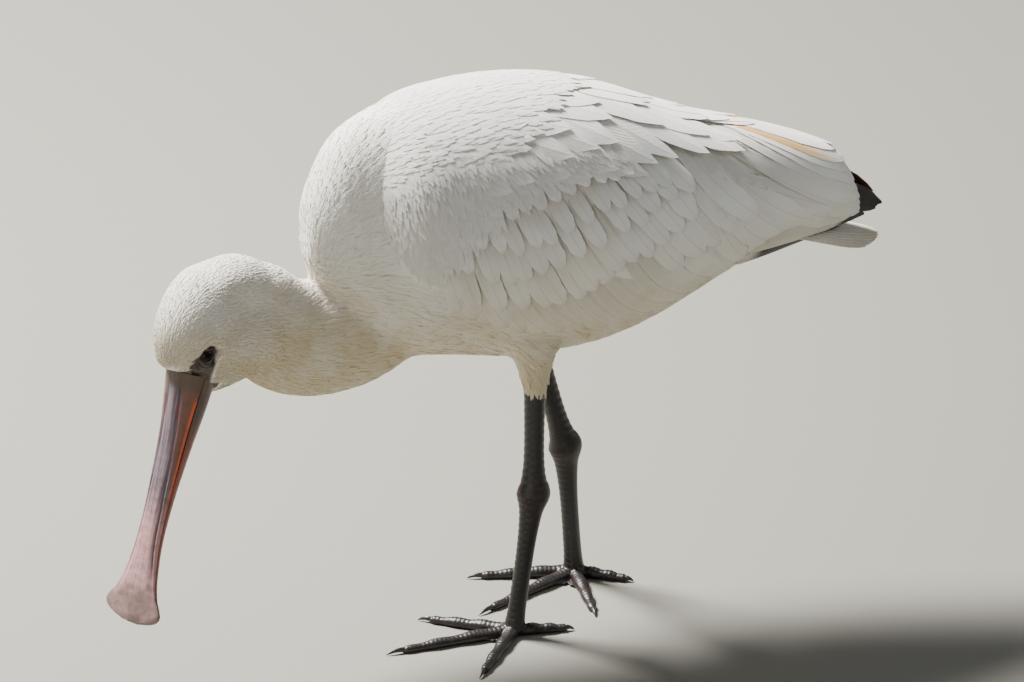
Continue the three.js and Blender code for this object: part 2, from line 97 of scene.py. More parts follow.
HEAD_TURN = math.radians(27)
BILL_LEAN = math.radians(19)
BILL_BASE = np.array([-269, -23, 221.6])


@dataclass(frozen=True)
class Leg:
    """Places of one leg, and its toes' directions in degrees from ahead towards the bird's left."""

    hip: tuple[float, float, float]
    cuff: tuple[float, float, float]
    ankle: tuple[float, float, float]
    sole: tuple[float, float, float]
    middle: float
    outer: float
    inner: float
    hind: float


ACROSS_BODY = np.array([0, -1.0, 0])
LEGS = {
    "left": Leg((-22, -33, 222), (-22.5, -34, 178), (-24, -36, 104), (-40, -40, 0), 3, 54, -37, 172),
    "right": Leg((-10, 30, 222), (2, 30, 172), (21, 31, 104), (30, 38, 0), 27, -13, 84, 146),
}


class Side(Enum):
    """The bird's two sides, as the factor that turns left into that side."""

    LEFT = 1
    RIGHT = -1

    @property
    def label(self) -> str:
        """Return the side's name as the nodes have it."""
        return self.name.lower()


def unit(vector: Array) -> Array:
    """Return vectors scaled to length one along their last axis."""
    return vector / np.maximum(np.linalg.norm(vector, axis=-1, keepdims=True), 1e-9)


def ease(value: Array, low: float, high: float) -> Array:
    """Return a smooth 0 to 1 step of a value between two limits."""
    t = np.clip((np.asarray(value, float) - low) / (high - low), 0, 1)
    return t * t * (3 - 2 * t)


class Track:
    """Smooth values along stations whose first column is their place."""

    def __init__(self, stations: Array) -> None:
        """Keep the stations and the slopes at them."""
        self.places = stations[:, 0]
        self.values = stations[:, 1:]
        slopes = np.gradient(self.values, self.places, axis=0)
        inner = (self.values[2:] - self.values[:-2]) / (self.places[2:] - self.places[:-2])[:, None]
        slopes[1:-1] = inner
        self.slopes = slopes

    def __call__(self, place: Array) -> Array:
        """Return the values at each place.

        Args:
            place: Places along the stations, held inside their range.

        Returns:
            An array with one more axis than place, of the stations' columns.
        """
        x = np.clip(np.asarray(place, float), self.places[0], self.places[-1])
        i = np.clip(np.searchsorted(self.places, x, side="right") - 1, 0, len(self.places) - 2)
        span = self.places[i + 1] - self.places[i]
        t = ((x - self.places[i]) / span)[..., None]
        h = span[..., None]
        start, end = self.values[i], self.values[i + 1]
        rise, fall = self.slopes[i] * h, self.slopes[i + 1] * h
        return (
            (2 * t**3 - 3 * t**2 + 1) * start
            + (t**3 - 2 * t**2 + t) * rise
            + (3 * t**2 - 2 * t**3) * end
            + (t**3 - t**2) * fall
        )


class HeadFrame:
    """Directions of the turned head: towards the face, to its left, and up along the bill's line."""

    facing = np.array([-math.cos(HEAD_TURN), -math.sin(HEAD_TURN), 0.0])
    left = np.array([math.sin(HEAD_TURN), -math.cos(HEAD_TURN), 0.0])
    up = np.array([0, 0, math.cos(BILL_LEAN)]) - facing * math.sin(BILL_LEAN)
    front = np.array([0, 0, math.sin(BILL_LEAN)]) + facing * math.cos(BILL_LEAN)

    @classmethod
    def point(cls, up: Array, forward: Array, out: Array) -> Array:
        """Return bird-frame points of head places: up from the bill, forward, and to the left."""
        up, forward, out = (np.asarray(value, float)[..., None] for value in (up, forward, out))
        return BILL_BASE + up * cls.up + forward * cls.front + out * cls.left

    @classmethod
    def place(cls, points: Array) -> Array:
        """Return the up, forward and left distances of bird-frame points."""
        return (points - BILL_BASE) @ np.stack([cls.up, cls.front, cls.left], -1)


@dataclass(frozen=True)
class Eye:
    """Place and size of an eyeball in the head frame."""

    up: float = 22.0
    forward: float = 9.0
    out: float = 17.0
    radius: float = 7.0

    def center(self, side: Side) -> Array:
        """Return the eyeball's centre on one side."""
        return HeadFrame.point(self.up, self.forward, side.value * self.out)


EYE = Eye()
SHIFT = sum(np.array(corner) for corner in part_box("left_eye")) / 2 - EYE.center(Side.LEFT) * MM


def to_scene(points: Array) -> Array:
    """Return bird-frame millimetres as scene metres."""
    return np.asarray(points, float) * MM + SHIFT


# Meshes


def select_only(piece: bpy.types.Object) -> None:
    """Deselect everything, then select one object and make it active."""
    bpy.ops.object.select_all(action="DESELECT")
    piece.select_set(True)
    bpy.context.view_layer.objects.active = piece


def face_outwards(piece: bpy.types.Object) -> None:
    """Turn every face of an object's closed bodies outwards."""
    select_only(piece)
    bpy.ops.object.mode_set(mode="EDIT")
    bpy.ops.mesh.select_all(action="SELECT")
    bpy.ops.mesh.normals_make_consistent(inside=False)
    bpy.ops.object.mode_set(mode="OBJECT")


def mesh_object(name: str, points: Array, faces: Array | list) -> bpy.types.Object:
    """Make an object from bird-frame points and faces, and link it.

    Args:
        name: The object's name.
        points: Points in millimetres.
        faces: Lists of point numbers, in outward order.

    Returns:
        The new object, at the origin.
    """
    mesh = bpy.data.meshes.new(name)
    faces = faces.tolist() if isinstance(faces, np.ndarray) else faces
    mesh.from_pydata(to_scene(points).tolist(), [], faces)
    mesh.update()
    piece = bpy.data.objects.new(name, mesh)
    bpy.context.scene.collection.objects.link(piece)
    return piece


def loft(rings: Array) -> tuple[Array, list]:
    """Close a stack of rings into one body with flat ends.

    Args:
        rings: Points of shape rings, around, 3.

    Returns:
        Points and faces of the body.
    """
    count, around = rings.shape[:2]
    ends = np.stack([rings[0].mean(0), rings[-1].mean(0)])
    points = np.concatenate([rings.reshape(-1, 3), ends])
    faces = []
    for row in range(count - 1):
        for k in range(around):
            a, b = row * around + k, row * around + (k + 1) % around
            faces.append((a, b, b + around, a + around))
    first, last = count * around, count * around + 1
    for k in range(around):
        n = (k + 1) % around
        faces.append((first, n, k))
        faces.append((last, (count - 1) * around + k, (count - 1) * around + n))
    return points, faces


def spline(points: Array, t: Array) -> tuple[Array, Array]:
    """Return points and unit tangents of a Catmull-Rom curve at shares of its length.

    Args:
        points: The curve's own points.
        t: Shares from 0 to 1.

    Returns:
        Curve points and tangents.
    """
    padded = np.concatenate([[2 * points[0] - points[1]], points, [2 * points[-1] - points[-2]]])
    place = np.clip(t, 0, 1) * (len(points) - 1)
    i = np.minimum(place.astype(int), len(points) - 2)
    w = (place - i)[:, None]
    p0, p1, p2, p3 = padded[i], padded[i + 1], padded[i + 2], padded[i + 3]
    a, b, c = -0.5 * p0 + 1.5 * p1 - 1.5 * p2 + 0.5 * p3, p0 - 2.5 * p1 + 2 * p2 - 0.5 * p3, (p2 - p0) / 2
    return a * w**3 + b * w**2 + c * w + p1, unit(3 * a * w**2 + 2 * b * w + c)


def limb(stations: Array, across: Array, around: int, along: int, grow: float = 0.0) -> tuple[Array, list]:
    """Make a body of oval sections along stations.

    Args:
        stations: Rows of x, y, z, half depth and half width.
        across: Direction of the sections' width.
        around: Points in a section.
        along: Number of sections.
        grow: Millimetres added to the half sizes.

    Returns:
        Points and faces.
    """
    t = np.linspace(0, 1, along)
    center, tangent = spline(stations[:, :3], t)
    index = np.arange(len(stations))[:, None]
    sizes = Track(np.hstack([index, stations[:, 3:]]))(t * (len(stations) - 1))
    left = unit(across - tangent * (tangent @ across)[:, None])
    back = np.cross(left, tangent)
    angle = np.linspace(0, 2 * np.pi, around, endpoint=False)[None, :, None]
    width, depth = sizes[:, 1] + grow, sizes[:, 0] + grow
    rings = (
        center[:, None]
        + left[:, None] * np.cos(angle) * width[:, None, None]
        + back[:, None] * np.sin(angle) * depth[:, None, None]
    )
    return loft(rings)


def joined(parts: list[tuple[Array, list]]) -> tuple[Array, list]:
    """Put several bodies' points and faces together."""
    points, faces, start = [], [], 0
    for some, polygons in parts:
        points.append(some)
        faces += [tuple(k + start for k in polygon) for polygon in polygons]
        start += len(some)
    return np.concatenate(points), faces


def fuse(piece: bpy.types.Object, voxel: float, passes: int, factor: float) -> None:
    """Turn overlapping bodies into one smooth skin.

    Args:
        piece: The object whose mesh is fused.
        voxel: Cell size in millimetres.
        passes: Smoothing passes.
        factor: Strength of each pass.
    """
    select_only(piece)
    remesh = piece.modifiers.new("fuse", "REMESH")
    remesh.mode, remesh.voxel_size, remesh.use_smooth_shade = "VOXEL", voxel * MM, True
    bpy.ops.object.modifier_apply(modifier=remesh.name)
    smooth = piece.modifiers.new("smooth", "SMOOTH")
    smooth.factor, smooth.iterations = factor, passes
    bpy.ops.object.modifier_apply(modifier=smooth.name)
    bpy.ops.object.shade_smooth()


def read(items: bpy.types.bpy_prop_collection, name: str, size: int, kind: type = float) -> Array:
    """Return one value of each item of a mesh.

    Args:
        items: The mesh's vertices, loops or triangles, or the data of a layer.
        name: The value's name.
        size: Numbers in one value.
        kind: Type of the numbers.

    Returns:
        An array with a row for each item.
    """
    values = np.empty(len(items) * size, kind)
    items.foreach_get(name, values)
    return values.reshape(-1, size)


def mesh_points(piece: bpy.types.Object) -> Array:
    """Return a mesh's points in bird-frame millimetres."""
    return (read(piece.data.vertices, "co", 3) - SHIFT) / MM


def set_mesh_points(piece: bpy.types.Object, points: Array) -> None:
    """Write bird-frame points back to a mesh."""
    piece.data.vertices.foreach_set("co", to_scene(points).ravel())
    piece.data.update()


def set_attribute(piece: bpy.types.Object, name: str, values: Array) -> None:
    """Store one number for each point of a mesh under a name."""
    attribute = piece.data.attributes.new(name, "FLOAT", "POINT")
    attribute.data.foreach_set("value", np.asarray(values, np.float32).ravel())


def set_uv(piece: bpy.types.Object, name: str, point_uv: Array) -> None:
    """Store a UV map that is given at the points of a mesh."""
    corners = read(piece.data.loops, "vertex_index", 1, np.int32).ravel()
    layer = piece.data.uv_layers.new(name=name)
    layer.data.foreach_set("uv", np.asarray(point_uv, np.float32)[corners].ravel())


def add_piece(piece: bpy.types.Object, slot: str, material: bpy.types.Material, *nodes: str) -> None:
    """Dress a finished piece, attach it to the root and hide the solids that it replaces.

    Args:
        piece: The finished object.
        slot: The record's material slot. Not used.
        material: The piece's material.
        *nodes: Solids that the piece replaces.
    """
    piece.data.materials.clear()
    piece.data.materials.append(material)
    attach(piece, "root")
    if nodes:
        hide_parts(*nodes)
    log.info("%s: %d faces", piece.name, len(piece.data.polygons))


# Materials


class Nodes:
    """Short calls for the nodes of one shader tree."""

    def __init__(self, tree: bpy.types.NodeTree) -> None:
        """Keep the tree."""
        self.tree = tree

    def node(self, kind: str, inputs: dict | None = None, **settings: object) -> bpy.types.Node:
        """Add a node.

        Args:
            kind: The node's type.
            inputs: Values or sockets for its inputs, by name or number.
            **settings: The node's own settings.

        Returns:
            The new node.
        """
        node = self.tree.nodes.new(kind)
        for key, value in settings.items():
            setattr(node, key, value)
        for key, value in (inputs or {}).items():
            if isinstance(value, bpy.types.NodeSocket):
                self.tree.links.new(value, node.inputs[key])
            else:
                node.inputs[key].default_value = value
        return node

    def math(self, operation: str, first: object, second: object = 0.0) -> bpy.types.NodeSocket:
        """Return the result of a sum on two values or sockets."""
        return self.node("ShaderNodeMath", {0: first, 1: second}, operation=operation).outputs[0]

    def times(self, first: object, second: object) -> bpy.types.NodeSocket:
        """Return the product of two values or sockets."""
        return self.math("MULTIPLY", first, second)

    def rest(self, value: object) -> bpy.types.NodeSocket:
        """Return one less a value."""
        return self.math("SUBTRACT", 1.0, value)

    def ramp(self, value: object, low: object, high: object) -> bpy.types.NodeSocket:
        """Return a smooth 0 to 1 step of a value between two limits."""
        inputs = {"Value": value, "From Min": low, "From Max": high}
        node = self.node("ShaderNodeMapRange", inputs, interpolation_type="SMOOTHSTEP", clamp=True)
        return node.outputs["Result"]

    def window(
        self, value: object, start: float, full: float, fade: float, end: float
    ) -> bpy.types.NodeSocket:
        """Return a value's smooth rise from start to full, less its fall from fade to end."""
        return self.times(self.ramp(value, start, full), self.rest(self.ramp(value, fade, end)))

    def mix(self, share: object, first: object, second: object) -> bpy.types.NodeSocket:
        """Return a blend of two colours or sockets."""
        node = self.node("ShaderNodeMix", data_type="RGBA")
        for socket, value in ((node.inputs[0], share), (node.inputs[6], first), (node.inputs[7], second)):
            if isinstance(value, bpy.types.NodeSocket):
                self.tree.links.new(value, socket)
            else:
                socket.default_value = (*value, 1.0) if isinstance(value, tuple) else value
        return node.outputs[2]

    def attribute(self, name: str) -> bpy.types.NodeSocket:
        """Return a number stored on the mesh."""
        return self.node("ShaderNodeAttribute", attribute_name=name).outputs["Fac"]

    def place(self) -> bpy.types.NodeSocket:
        """Return the object coordinates, in metres."""
        return self.node("ShaderNodeTexCoord").outputs["Object"]

    def noise(self, scale: object, detail: object, vector: object = None) -> bpy.types.NodeSocket:
        """Return noise on object coordinates, or on another vector."""
        inputs = {"Vector": vector or self.place(), "Scale": scale, "Detail": detail}
        return self.node("ShaderNodeTexNoise", inputs).outputs["Fac"]

    def uv(self, name: str) -> tuple[bpy.types.NodeSocket, bpy.types.NodeSocket]:
        """Return the two coordinates of a UV map."""
        source = self.node("ShaderNodeUVMap", uv_map=name)
        parts = self.node("ShaderNodeSeparateXYZ", {0: source.outputs[0]})
        return parts.outputs["X"], parts.outputs["Y"]

    def vector(self, x: object, y: object, z: object = 0.0) -> bpy.types.NodeSocket:
        """Return a vector of three values or sockets."""
        return self.node("ShaderNodeCombineXYZ", {0: x, 1: y, 2: z}).outputs[0]


def mottle_group() -> bpy.types.NodeTree:
    """Return the shared node group that makes a mask of soft patches, built at its first use."""
    tree = bpy.data.node_groups.get("mottle")
    if tree is None:
        tree = bpy.data.node_groups.new("mottle", "ShaderNodeTree")
        tree.interface.new_socket("Vector", in_out="INPUT", socket_type="NodeSocketVector")
        for name in ("Scale", "Detail", "Low", "High"):
            tree.interface.new_socket(name, in_out="INPUT", socket_type="NodeSocketFloat")
        tree.interface.new_socket("Mask", in_out="OUTPUT", socket_type="NodeSocketFloat")
        nodes = Nodes(tree)
        given = nodes.node("NodeGroupInput").outputs
        noise = nodes.noise(given["Scale"], given["Detail"], given["Vector"])
        nodes.node("NodeGroupOutput", {"Mask": nodes.ramp(noise, given["Low"], given["High"])})
    return tree


class Shader(Nodes):
    """A material with a Principled shader."""

    def __init__(self, name: str, roughness: float) -> None:
        """Start the material."""
        self.material = bpy.data.materials.new(name)
        self.material.use_nodes = True
        super().__init__(self.material.node_tree)
        self.shader = self.tree.nodes["Principled BSDF"]
        self.shader.inputs["Roughness"].default_value = roughness

    def link(self, socket: bpy.types.NodeSocket, name: str) -> None:
        """Feed one of the shader's inputs."""
        self.tree.links.new(socket, self.shader.inputs[name])

    def mottle(self, scale: float, detail: float, low: float, high: float) -> bpy.types.NodeSocket:
        """Return a mask of soft patches from the shared group.

        Args:
            scale: Patches in a metre.
            detail: Finer octaves of the patches.
            low: Noise value where a patch starts.
            high: Noise value where it is full.

        Returns:
            The mask.
        """
        inputs = {"Vector": self.place(), "Scale": scale, "Detail": detail, "Low": low, "High": high}
        return self.node("ShaderNodeGroup", inputs, node_tree=mottle_group()).outputs["Mask"]

    def bump(self, height: bpy.types.NodeSocket, depth: float, strength: float) -> None:
        """Feed the shader's normal from a height, with a depth in metres."""
        inputs = {"Height": height, "Distance": depth, "Strength": strength}
        self.link(self.node("ShaderNodeBump", inputs).outputs[0], "Normal")


@dataclass(frozen=True)
class PlumageFinish:
    """Colours of the white plumage: white, cream that is part stain and part painted shade, painted shade at
    the feather roots and a painted highlight at their edges.
    """

    bleached: tuple[float, float, float] = (0.90, 0.885, 0.85)
    cream: tuple[float, float, float] = (0.62, 0.51, 0.33)
    # Painted shade, laid over the covered roots of the vaned feathers.
    shade: tuple[float, float, float] = (0.40, 0.34, 0.25)
    shaft: tuple[float, float, float] = (0.55, 0.47, 0.36)
    black: tuple[float, float, float] = (0.012, 0.010, 0.010)
    buff: tuple[float, float, float] = (0.60, 0.32, 0.10)
    dust: tuple[float, float, float] = (0.30, 0.27, 0.25)
    # Painted highlight along the edges of the vaned feathers.
    margin: tuple[float, float, float] = (0.96, 0.95, 0.93)
    roughness: float = 0.78
    barb_depth: float = 0.00022

    def build(self, name: str, barbs: float, shafts: bool) -> bpy.types.Material:
        """Make a feather material.

        Args:
            name: The material's name.
            barbs: Number of barb ridges along a feather.
            shafts: Whether a shaft line shows.

        Returns:
            The material. It reads the attributes warmth, dark, tone and buff and the UV map Vane.
        """
        paint = Shader(name, self.roughness)
        # Cream mixed in lower down: part real stain, part painted shade of the lower plumage.
        warmth = paint.attribute("warmth")
        mottle = paint.mottle(38.0, 4.0, 0.3, 0.75)
        spread = paint.times(warmth, paint.math("ADD", paint.times(mottle, 0.5), 0.75))
        colour = paint.mix(spread, self.bleached, self.cream)
        tone = paint.math("ADD", paint.times(paint.attribute("tone"), 0.12), 0.90)
        colour = paint.mix(paint.rest(tone), colour, self.dust)
        across, along = paint.uv("Vane")
        offset = paint.math("ABSOLUTE", paint.math("SUBTRACT", across, 0.5))
        if shafts:
            # Painted shade: each vaned feather darkens towards its root, where the feather over it would
            # shade it.
            root_shade = paint.rest(paint.ramp(along, 0.25, 0.85))
            colour = paint.mix(paint.times(root_shade, 0.42), colour, self.shade)
            line = paint.rest(paint.ramp(offset, 0.008, 0.03))
            colour = paint.mix(paint.times(line, 0.45), colour, self.shaft)
            # Painted highlight: the vane's edges are lightened, as if light shone through them.
            edge = paint.times(paint.ramp(offset, 0.40, 0.5), 0.22)
            colour = paint.mix(edge, colour, self.margin)
        colour = paint.mix(paint.attribute("buff"), colour, self.buff)
        colour = paint.mix(paint.attribute("dark"), colour, self.black)
        paint.link(colour, "Base Color")
        slant = paint.times(offset, barbs * 0.35)
        rows = paint.math("SUBTRACT", paint.times(along, barbs), slant)
        wave = paint.math("SINE", paint.times(rows, 2 * math.pi))
        loose = paint.noise(0.35 * barbs, 2.0, paint.vector(paint.times(across, 3.0), along))
        paint.bump(paint.math("ADD", paint.times(wave, 0.5), loose), self.barb_depth, 0.55)
        paint.shader.inputs["Sheen Weight"].default_value = 0.12
        paint.shader.inputs["Subsurface Weight"].default_value = 0.08
        paint.shader.inputs["Subsurface Scale"].default_value = 0.004
        return paint.material


@dataclass(frozen=True)
class SkinFinish:
    """Colours of the down under the feathers and of the bare dusky face."""

    down: tuple[float, float, float] = (0.80, 0.76, 0.69)
    bare: tuple[float, float, float] = (0.024, 0.017, 0.014)
    flesh: tuple[float, float, float] = (0.085, 0.055, 0.038)

    def build(self, name: str) -> bpy.types.Material:
        """Make the skin's material, which reads the attribute bare."""
        paint = Shader(name, 0.62)
        patches = paint.mottle(330.0, 4.0, 0.38, 0.68)
        face = paint.mix(patches, self.bare, self.flesh)
        paint.link(paint.mix(paint.attribute("bare"), self.down, face), "Base Color")
        paint.bump(paint.noise(1400.0, 4.0), 0.0005, 0.6)
        return paint.material


@dataclass(frozen=True)
class BillFinish:
    """Colours of the bill: slate and lilac above turning pink, orange-red and red-brown below."""

    slate: tuple[float, float, float] = (0.165, 0.125, 0.150)
    streak: tuple[float, float, float] = (0.040, 0.027, 0.036)
    pink: tuple[float, float, float] = (0.40, 0.225, 0.235)
    panel: tuple[float, float, float] = (0.155, 0.058, 0.042)
    orange: tuple[float, float, float] = (0.52, 0.085, 0.022)
    red: tuple[float, float, float] = (0.25, 0.055, 0.036)
    nostril: tuple[float, float, float] = (0.09, 0.006, 0.006)
    dried: tuple[float, float, float] = (0.13, 0.032, 0.022)
    rim: tuple[float, float, float] = (0.30, 0.19, 0.12)
    spoon: tuple[float, float, float] = (0.25, 0.155, 0.145)
    worn: tuple[float, float, float] = (0.14, 0.092, 0.085)
    dusk: tuple[float, float, float] = (0.060, 0.042, 0.032)
    root: tuple[float, float, float] = (0.085, 0.056, 0.038)

    def build(self, name: str, upper: bool) -> bpy.types.Material:
        """Make one mandible's material.

        Args:
            name: The material's name.
            upper: Whether it is the upper mandible.

        Returns:
            The material. It reads the UV map Horn: across, 0 at the middle and 1 at the gape, and
            along, 0 at the feathers and 1 at the tip.
        """
        paint = Shader(name, 0.34)
        across, along = paint.uv("Horn")
        fibres = paint.noise(1.0, 5.0, paint.vector(paint.times(across, 11.0), paint.times(along, 3.2)))
        spots = paint.mottle(170.0, 5.0, 0.50, 0.66)
        wobble = paint.times(paint.math("SUBTRACT", paint.noise(45.0, 3.0), 0.5), 0.10)
        offset = paint.math("ADD", paint.math("ABSOLUTE", across), wobble)
        colour = (self.upper if upper else self.lower)(paint, offset, along, fibres)
        spoon = paint.ramp(along, 0.80, 0.92)
        patches = paint.mottle(60.0, 4.0, 0.35, 0.65)
        worn = paint.mix(patches, self.spoon, self.worn)
        colour = paint.mix(spoon, colour, worn)
        colour = paint.mix(paint.times(spots, 0.35), colour, self.dusk)
        root = paint.rest(paint.ramp(along, 0.015, 0.055))
        colour = paint.mix(paint.times(root, 0.85), colour, self.root)
        paint.link(colour, "Base Color")
        paint.link(paint.ramp(fibres, -0.5, 1.8), "Roughness")
        paint.bump(paint.math("ADD", fibres, paint.times(paint.noise(500.0, 3.0), 0.5)), 0.0005, 0.5)
        return paint.material

    def upper(self, paint: Shader, offset: object, along: object, fibres: object) -> bpy.types.NodeSocket:
        """Return the upper mandible's colour."""
        far = paint.ramp(along, 0.40, 0.66)
        colour = paint.mix(far, self.slate, self.pink)
        fading = paint.math("SUBTRACT", 0.8, paint.times(far, 0.55))
        colour = paint.mix(paint.times(paint.ramp(fibres, 0.46, 0.62), fading), colour, self.streak)
        groove = paint.math("ADD", 0.18, paint.times(along, 0.5))
        gap = paint.math("SUBTRACT", offset, groove)
        beside = paint.math("ABSOLUTE", gap)
        near, before = paint.rest(paint.ramp(beside, 0.03, 0.13)), paint.rest(paint.ramp(along, 0.74, 0.84))
        line = paint.times(near, before)
        sides = paint.times(paint.ramp(gap, 0.05, 0.20), paint.rest(paint.ramp(along, 0.30, 0.48)))
        colour = paint.mix(sides, colour, self.panel)
        strip = paint.times(paint.ramp(offset, 0.84, 0.90), paint.window(along, 0.05, 0.09, 0.42, 0.66))
        colour = paint.mix(strip, colour, self.orange)
        colour = paint.mix(paint.times(line, 0.85), colour, self.streak)
        thin = paint.rest(paint.ramp(beside, 0.01, 0.06))
        slit = paint.times(paint.window(along, 0.065, 0.08, 0.15, 0.17), thin)
        colour = paint.mix(slit, colour, self.nostril)
        rim = paint.times(paint.ramp(offset, 0.90, 0.98), paint.ramp(along, 0.55, 0.7))
        return paint.mix(paint.times(rim, 0.6), colour, self.rim)

    def lower(self, paint: Shader, offset: object, along: object, fibres: object) -> bpy.types.NodeSocket:
        """Return the lower mandible's colour."""
        near = paint.rest(paint.ramp(along, 0.10, 0.36))
        colour = paint.mix(paint.ramp(fibres, 0.4, 0.66), self.red, self.dried)
        keel = paint.rest(paint.ramp(offset, 0.15, 0.45))
        dusky = paint.times(near, paint.math("SUBTRACT", 0.95, paint.times(keel, 0.5)))
        return paint.mix(dusky, colour, self.dusk)


@dataclass(frozen=True)
class LegFinish:
    """Colours of the scaled legs: near black, red-brown at the joints."""

    black: tuple[float, float, float] = (0.010, 0.0085, 0.0085)
    joint: tuple[float, float, float] = (0.036, 0.014, 0.011)
    scales: float = 330.0

    def build(self, name: str) -> bpy.types.Material:
        """Make the leg material, which reads the attribute joint."""
        paint = Shader(name, 0.40)
        worn = paint.mottle(210.0, 5.0, 0.46, 0.68)
        colour = paint.mix(paint.times(paint.attribute("joint"), worn), self.black, self.joint)
        paint.link(colour, "Base Color")
        inputs = {"Vector": paint.place(), "Scale": self.scales}
        cells = paint.node("ShaderNodeTexVoronoi", inputs, feature="DISTANCE_TO_EDGE")
        paint.bump(paint.ramp(cells.outputs["Distance"], 0.0, 0.12), 0.00014, 0.4)
        return paint.material


@dataclass(frozen=True)
class ClawFinish:
    """Colours of the claws' dark horn."""

    horn: tuple[float, float, float] = (0.030, 0.026, 0.024)
    shade: float = 0.45

    def build(self, name: str) -> bpy.types.Material:
        """Make the claw material."""
        paint = Shader(name, 0.3)
        darker = tuple(self.shade * value for value in self.horn)
        paint.link(paint.mix(paint.mottle(500.0, 4.0, 0.35, 0.65), self.horn, darker), "Base Color")
        return paint.material


@dataclass(frozen=True)
class EyeFinish:
    """Colours of the glossy, nearly black eyes."""

    dark: tuple[float, float, float] = (0.008, 0.004, 0.003)
    brown: tuple[float, float, float] = (0.020, 0.009, 0.006)
    pupil: tuple[float, float, float] = (0.002, 0.002, 0.002)

    def build(self, name: str) -> bpy.types.Material:
        """Make the eye material, which reads the attribute pupil."""
        paint = Shader(name, 0.12)
        iris = paint.mix(paint.mottle(900.0, 4.0, 0.35, 0.7), self.dark, self.brown)
        paint.link(paint.mix(paint.attribute("pupil"), iris, self.pupil), "Base Color")
        paint.shader.inputs["Specular IOR Level"].default_value = 0.15
        return paint.material


# Feathers


@dataclass(frozen=True)
class Vane:
    """Grid and outline of one feather's mesh: shares along it, and widths and sides across it."""

    shares: tuple[float, ...]
    widths: tuple[float, ...]
    sides: tuple[float, ...]
    ridges: tuple[float, ...]
    thick: float = 0.42
    tilt: float = 0.55

    def faces(self) -> Array:
        """Return the faces of one closed thin vane, upper grid first."""
        rows, cols = len(self.shares), len(self.sides)
        half = rows * cols
        faces = []
        for i in range(rows - 1):
            for j in range(cols - 1):
                a = i * cols + j
                faces.append((a, a + cols, a + cols + 1, a + 1))
                faces.append((a + half, a + half + 1, a + half + cols + 1, a + half + cols))
            for j, turn in ((0, 1), (cols - 1, -1)):
                a = i * cols + j
                faces.append((a, a + half, a + half + cols, a + cols)[::turn])
        for i, turn in ((0, -1), (rows - 1, 1)):
            for j in range(cols - 1):
                a = i * cols + j
                faces.append((a, a + half, a + half + 1, a + 1)[::turn])
        return np.array(faces)


class Tuft(Vane):
    """A small feather of three-sided section: two edges and the ridge between them."""

    def faces(self) -> Array:
        """Return the triangles of one closed tuft."""
        faces = [(0, 1, 2)]
        for i in range(len(self.shares) - 1):
            for j in range(3):
                a, b = i * 3 + j, i * 3 + (j + 1) % 3
                faces += [(a, a + 3, b), (b, a + 3, b + 3)]
        last = 3 * len(self.shares) - 3
        return np.array(faces + [(last, last + 2, last + 1)])


def outline(count: int, root: float, tip: float, point: float) -> tuple[tuple[float, ...], tuple[float, ...]]:
    """Return shares and widths of a feather with a round or pointed tip.

    Args:
        count: Rows along the feather.
        root: Width at the root, as a share of the full width.
        tip: Share of the length where the tip starts to round.
        point: Exponent of the tip, 0.5 for a round one and more for a pointed one.

    Returns:
        Shares along the feather, and widths there.
    """
    shares = 1 - (1 - np.linspace(0, 1, count)) ** 1.35
    body = root + (1 - root) * np.sin(np.minimum(shares / 0.5, 1) * np.pi / 2)
    end = np.clip((shares - tip) / (1 - tip), 0, 0.997)
    widths = body * (1 - end**2) ** point
    return tuple(shares), tuple(widths)


ACROSS = (-1, -0.66, -0.33, -0.05, 0, 0.05, 0.33, 0.66, 1)
ROUND = Vane(*outline(13, 0.42, 0.72, 0.5), ACROSS, (0, 0.1, 0.16, 0.18, 0.36, 0.18, 0.16, 0.1, 0))
LONG = Vane(
    *outline(13, 0.42, 0.50, 0.9), ACROSS, (0, 0.06, 0.1, 0.11, 0.2, 0.11, 0.1, 0.06, 0), 0.3, 0.22)
SOFT = Vane((0, 0.3, 0.6, 0.85, 1), (0.5, 0.95, 1, 0.62, 0.12), (-1, 0, 1), (0, 0.10, 0), 0.16, 0.05)
TUFT = Tuft((0, 0.36, 0.72, 1), (0.6, 1, 0.8, 0.14), (-1, 0, 1), (0, 1, 0))


def spaced(points: Array, spacing: Array) -> Array:
    """Return the numbers of points that keep their spacing from those before them."""
    kept: list[int] = []
    grid: dict[tuple[int, int, int], list[int]] = {}
    keys = np.floor(points / float(spacing.max())).astype(int)
    steps = [(a, b, c) for a in (-1, 0, 1) for b in (-1, 0, 1) for c in (-1, 0, 1)]
    for index, (key, room) in enumerate(zip(map(tuple, keys), spacing)):
        near = [k for a, b, c in steps for k in grid.get((key[0] + a, key[1] + b, key[2] + c), ())]
        if near and (((points[near] - points[index]) ** 2).sum(1) < room * room).any():
            continue
        grid.setdefault(key, []).append(index)
        kept.append(index)
    return np.array(kept)


